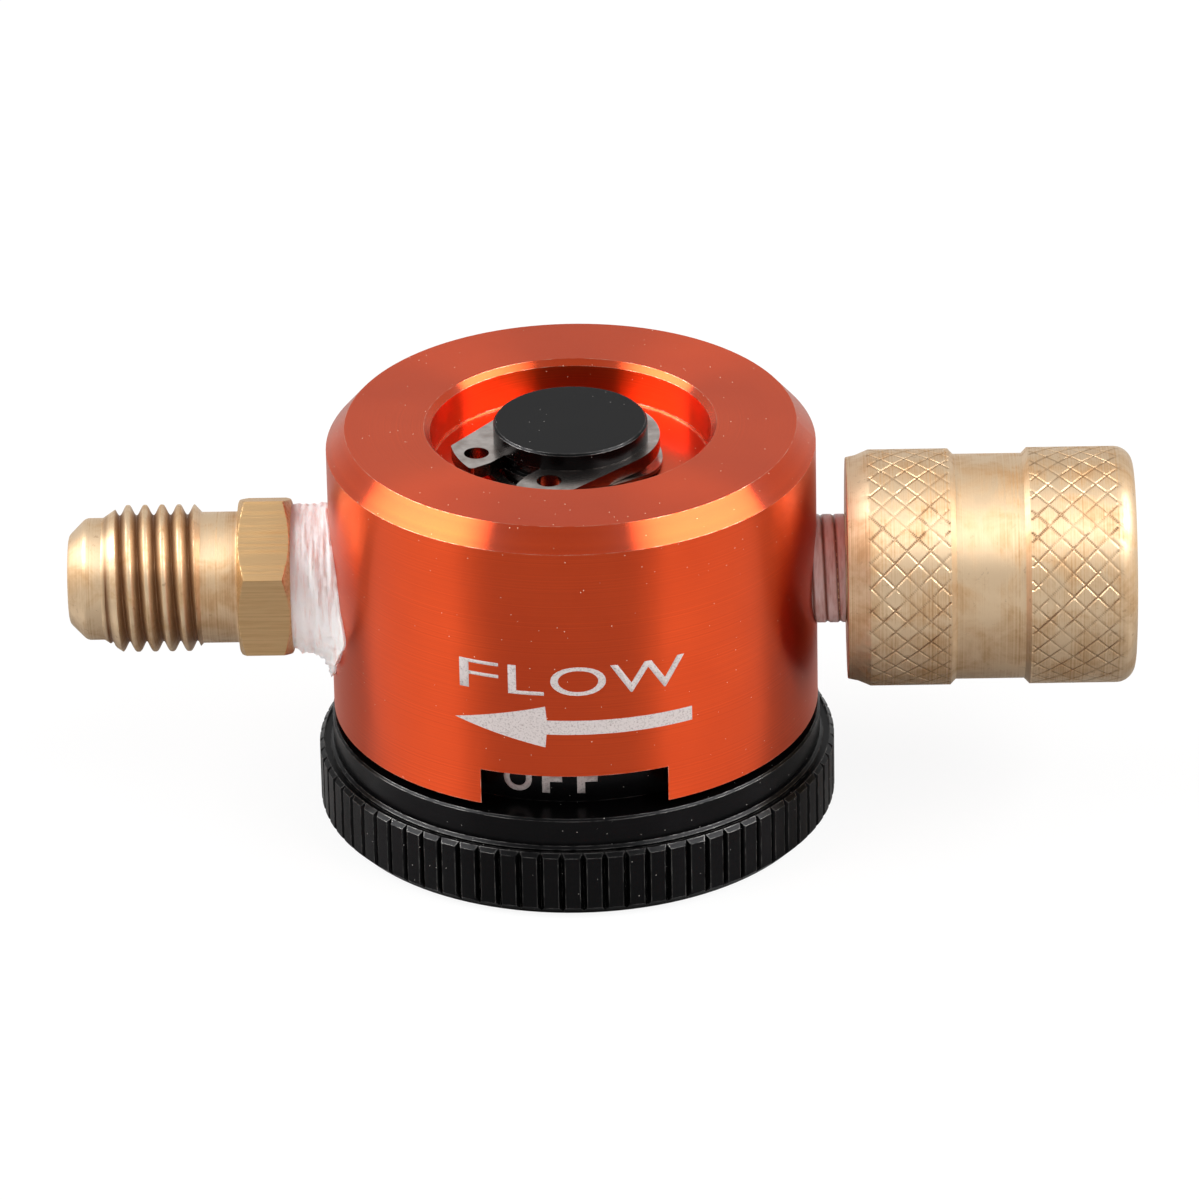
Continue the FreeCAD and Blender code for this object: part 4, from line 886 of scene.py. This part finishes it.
# print: letters and arrow, by azimuth in degrees from the front and height in millimetres
printSettings = {"thickness": 0.018, "sunk": 0.03, "slice": 0.5, "onSlice": 1e-5}
flowPrint = {"radius": 18.2, "foot": 18.0, "top": 20.36,
             # letter, left and right edge, and how much bolder than the typeface
             "letters": (("F", -27.0, -17.3, -0.007), ("L", -15.0, -6.6, -0.003), ("O", -5.1, 7.8, 0.0),
                         ("W", 8.8, 26.75, 0.002))}
arrowPrint = {"radius": 18.2, "outline": ((-28.4, 15.34), (-6.5, 13.7), (-6.2, 14.78), (28.6, 14.72),
                                          (28.6, 15.86), (-6.1, 15.94), (-6.4, 17.08))}
dialPrint = {"radius": 15.5, "foot": 8.4, "top": 10.6,
             "letters": (("O", -19.8, -11.8, 0.03), ("F", -9.0, -3.5, 0.035), ("F", 0.6, 6.2, 0.035))}
otherWords = (("PURGE", -51.8), ("BRAZE", -96.8), ("TEST", -141.8))
wordSettings = {"width": 4.7, "pitch": 5.9, "bolder": 0.035}


def letterMesh(letter, bolder):
    curve = bpy.data.curves.new("letter", "FONT")
    curve.body = letter
    curve.resolution_u = 6
    curve.offset = bolder
    holder = addObject("letter", curve)
    mesh = meshOf(holder)
    bpy.data.objects.remove(holder)
    return mesh


def flatLetters(settings):  # letters in one flat mesh: x along the arc, y up, in millimetres
    flat = bmesh.new()
    for letter, left, right, bolder in settings["letters"]:
        mesh = letterMesh(letter, bolder)
        xs = [v.co.x for v in mesh.vertices]
        ys = [v.co.y for v in mesh.vertices]
        start, end = (math.radians(a) * settings["radius"] for a in (left, right))
        across = (end - start) / (max(xs) - min(xs))
        upward = (settings["top"] - settings["foot"]) / (max(ys) - min(ys))
        for vertex in mesh.vertices:
            vertex.co = (start + (vertex.co.x - min(xs)) * across,
                         settings["foot"] + (vertex.co.y - min(ys)) * upward, 0)
        flat.from_mesh(mesh)
    return flat


def printRound(name, flat, radius, body):  # sliced, thickened and wrapped on the cylinder
    bmesh.ops.remove_doubles(flat, verts=flat.verts, dist=nearly / mm)
    left = min(v.co.x for v in flat.verts)
    right = max(v.co.x for v in flat.verts)
    for x in finer(left, right, printSettings["slice"])[1:-1]:
        everything = flat.verts[:] + flat.edges[:] + flat.faces[:]
        bmesh.ops.bisect_plane(flat, geom=everything, dist=printSettings["onSlice"], plane_co=(x, 0, 0),
                               plane_no=(1, 0, 0))
    raised = bmesh.ops.extrude_face_region(flat, geom=flat.faces[:])
    for item in raised["geom"]:
        if isinstance(item, bmesh.types.BMVert):
            item.co.z = printSettings["thickness"] + printSettings["sunk"]
    for vertex in flat.verts:
        reach = (radius + vertex.co.z - printSettings["sunk"]) * mm
        turn = vertex.co.x / radius
        vertex.co = (reach * math.sin(turn), -reach * math.cos(turn), vertex.co.y * mm)
    for parts in (flat.edges, flat.faces):  # the walls come in another order each run, so all are sorted
        places = {part: tuple(sum((v.co for v in part.verts), Vector())) for part in parts}
        order = {part: n for n, part in enumerate(sorted(parts, key=places.get))}
        parts.sort(key=order.get)
    bmesh.ops.recalc_face_normals(flat, faces=flat.faces)
    mesh = bpy.data.meshes.new(name)
    flat.to_mesh(mesh)
    flat.free()
    piece = newPiece(mesh, "screenPrint")
    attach(piece, body)


def evenLetters(word, middle, s):  # the words behind the skirt, spaced evenly
    places = [middle + (n - (len(word) - 1) / 2) * s["pitch"] for n in range(len(word))]
    return [(letter, place - s["width"] / 2, place + s["width"] / 2, s["bolder"])
            for letter, place in zip(word, places)]


def flatOutline(settings):
    flat = bmesh.new()
    corners = [flat.verts.new((math.radians(turn) * settings["radius"], height, 0))
               for turn, height in settings["outline"]]
    flat.faces.new(corners)
    return flat


printRound("flowLetters", flatLetters(flowPrint), flowPrint["radius"], "housing")
printRound("flowArrow", flatOutline(arrowPrint), arrowPrint["radius"], "housing")
printRound("dialOff", flatLetters(dialPrint), dialPrint["radius"], "dial")
for word, middle in otherWords:
    letters = {**dialPrint, "letters": evenLetters(word, middle, wordSettings)}
    printRound("dial" + word.title(), flatLetters(letters), dialPrint["radius"], "dial")
print("lettering made")
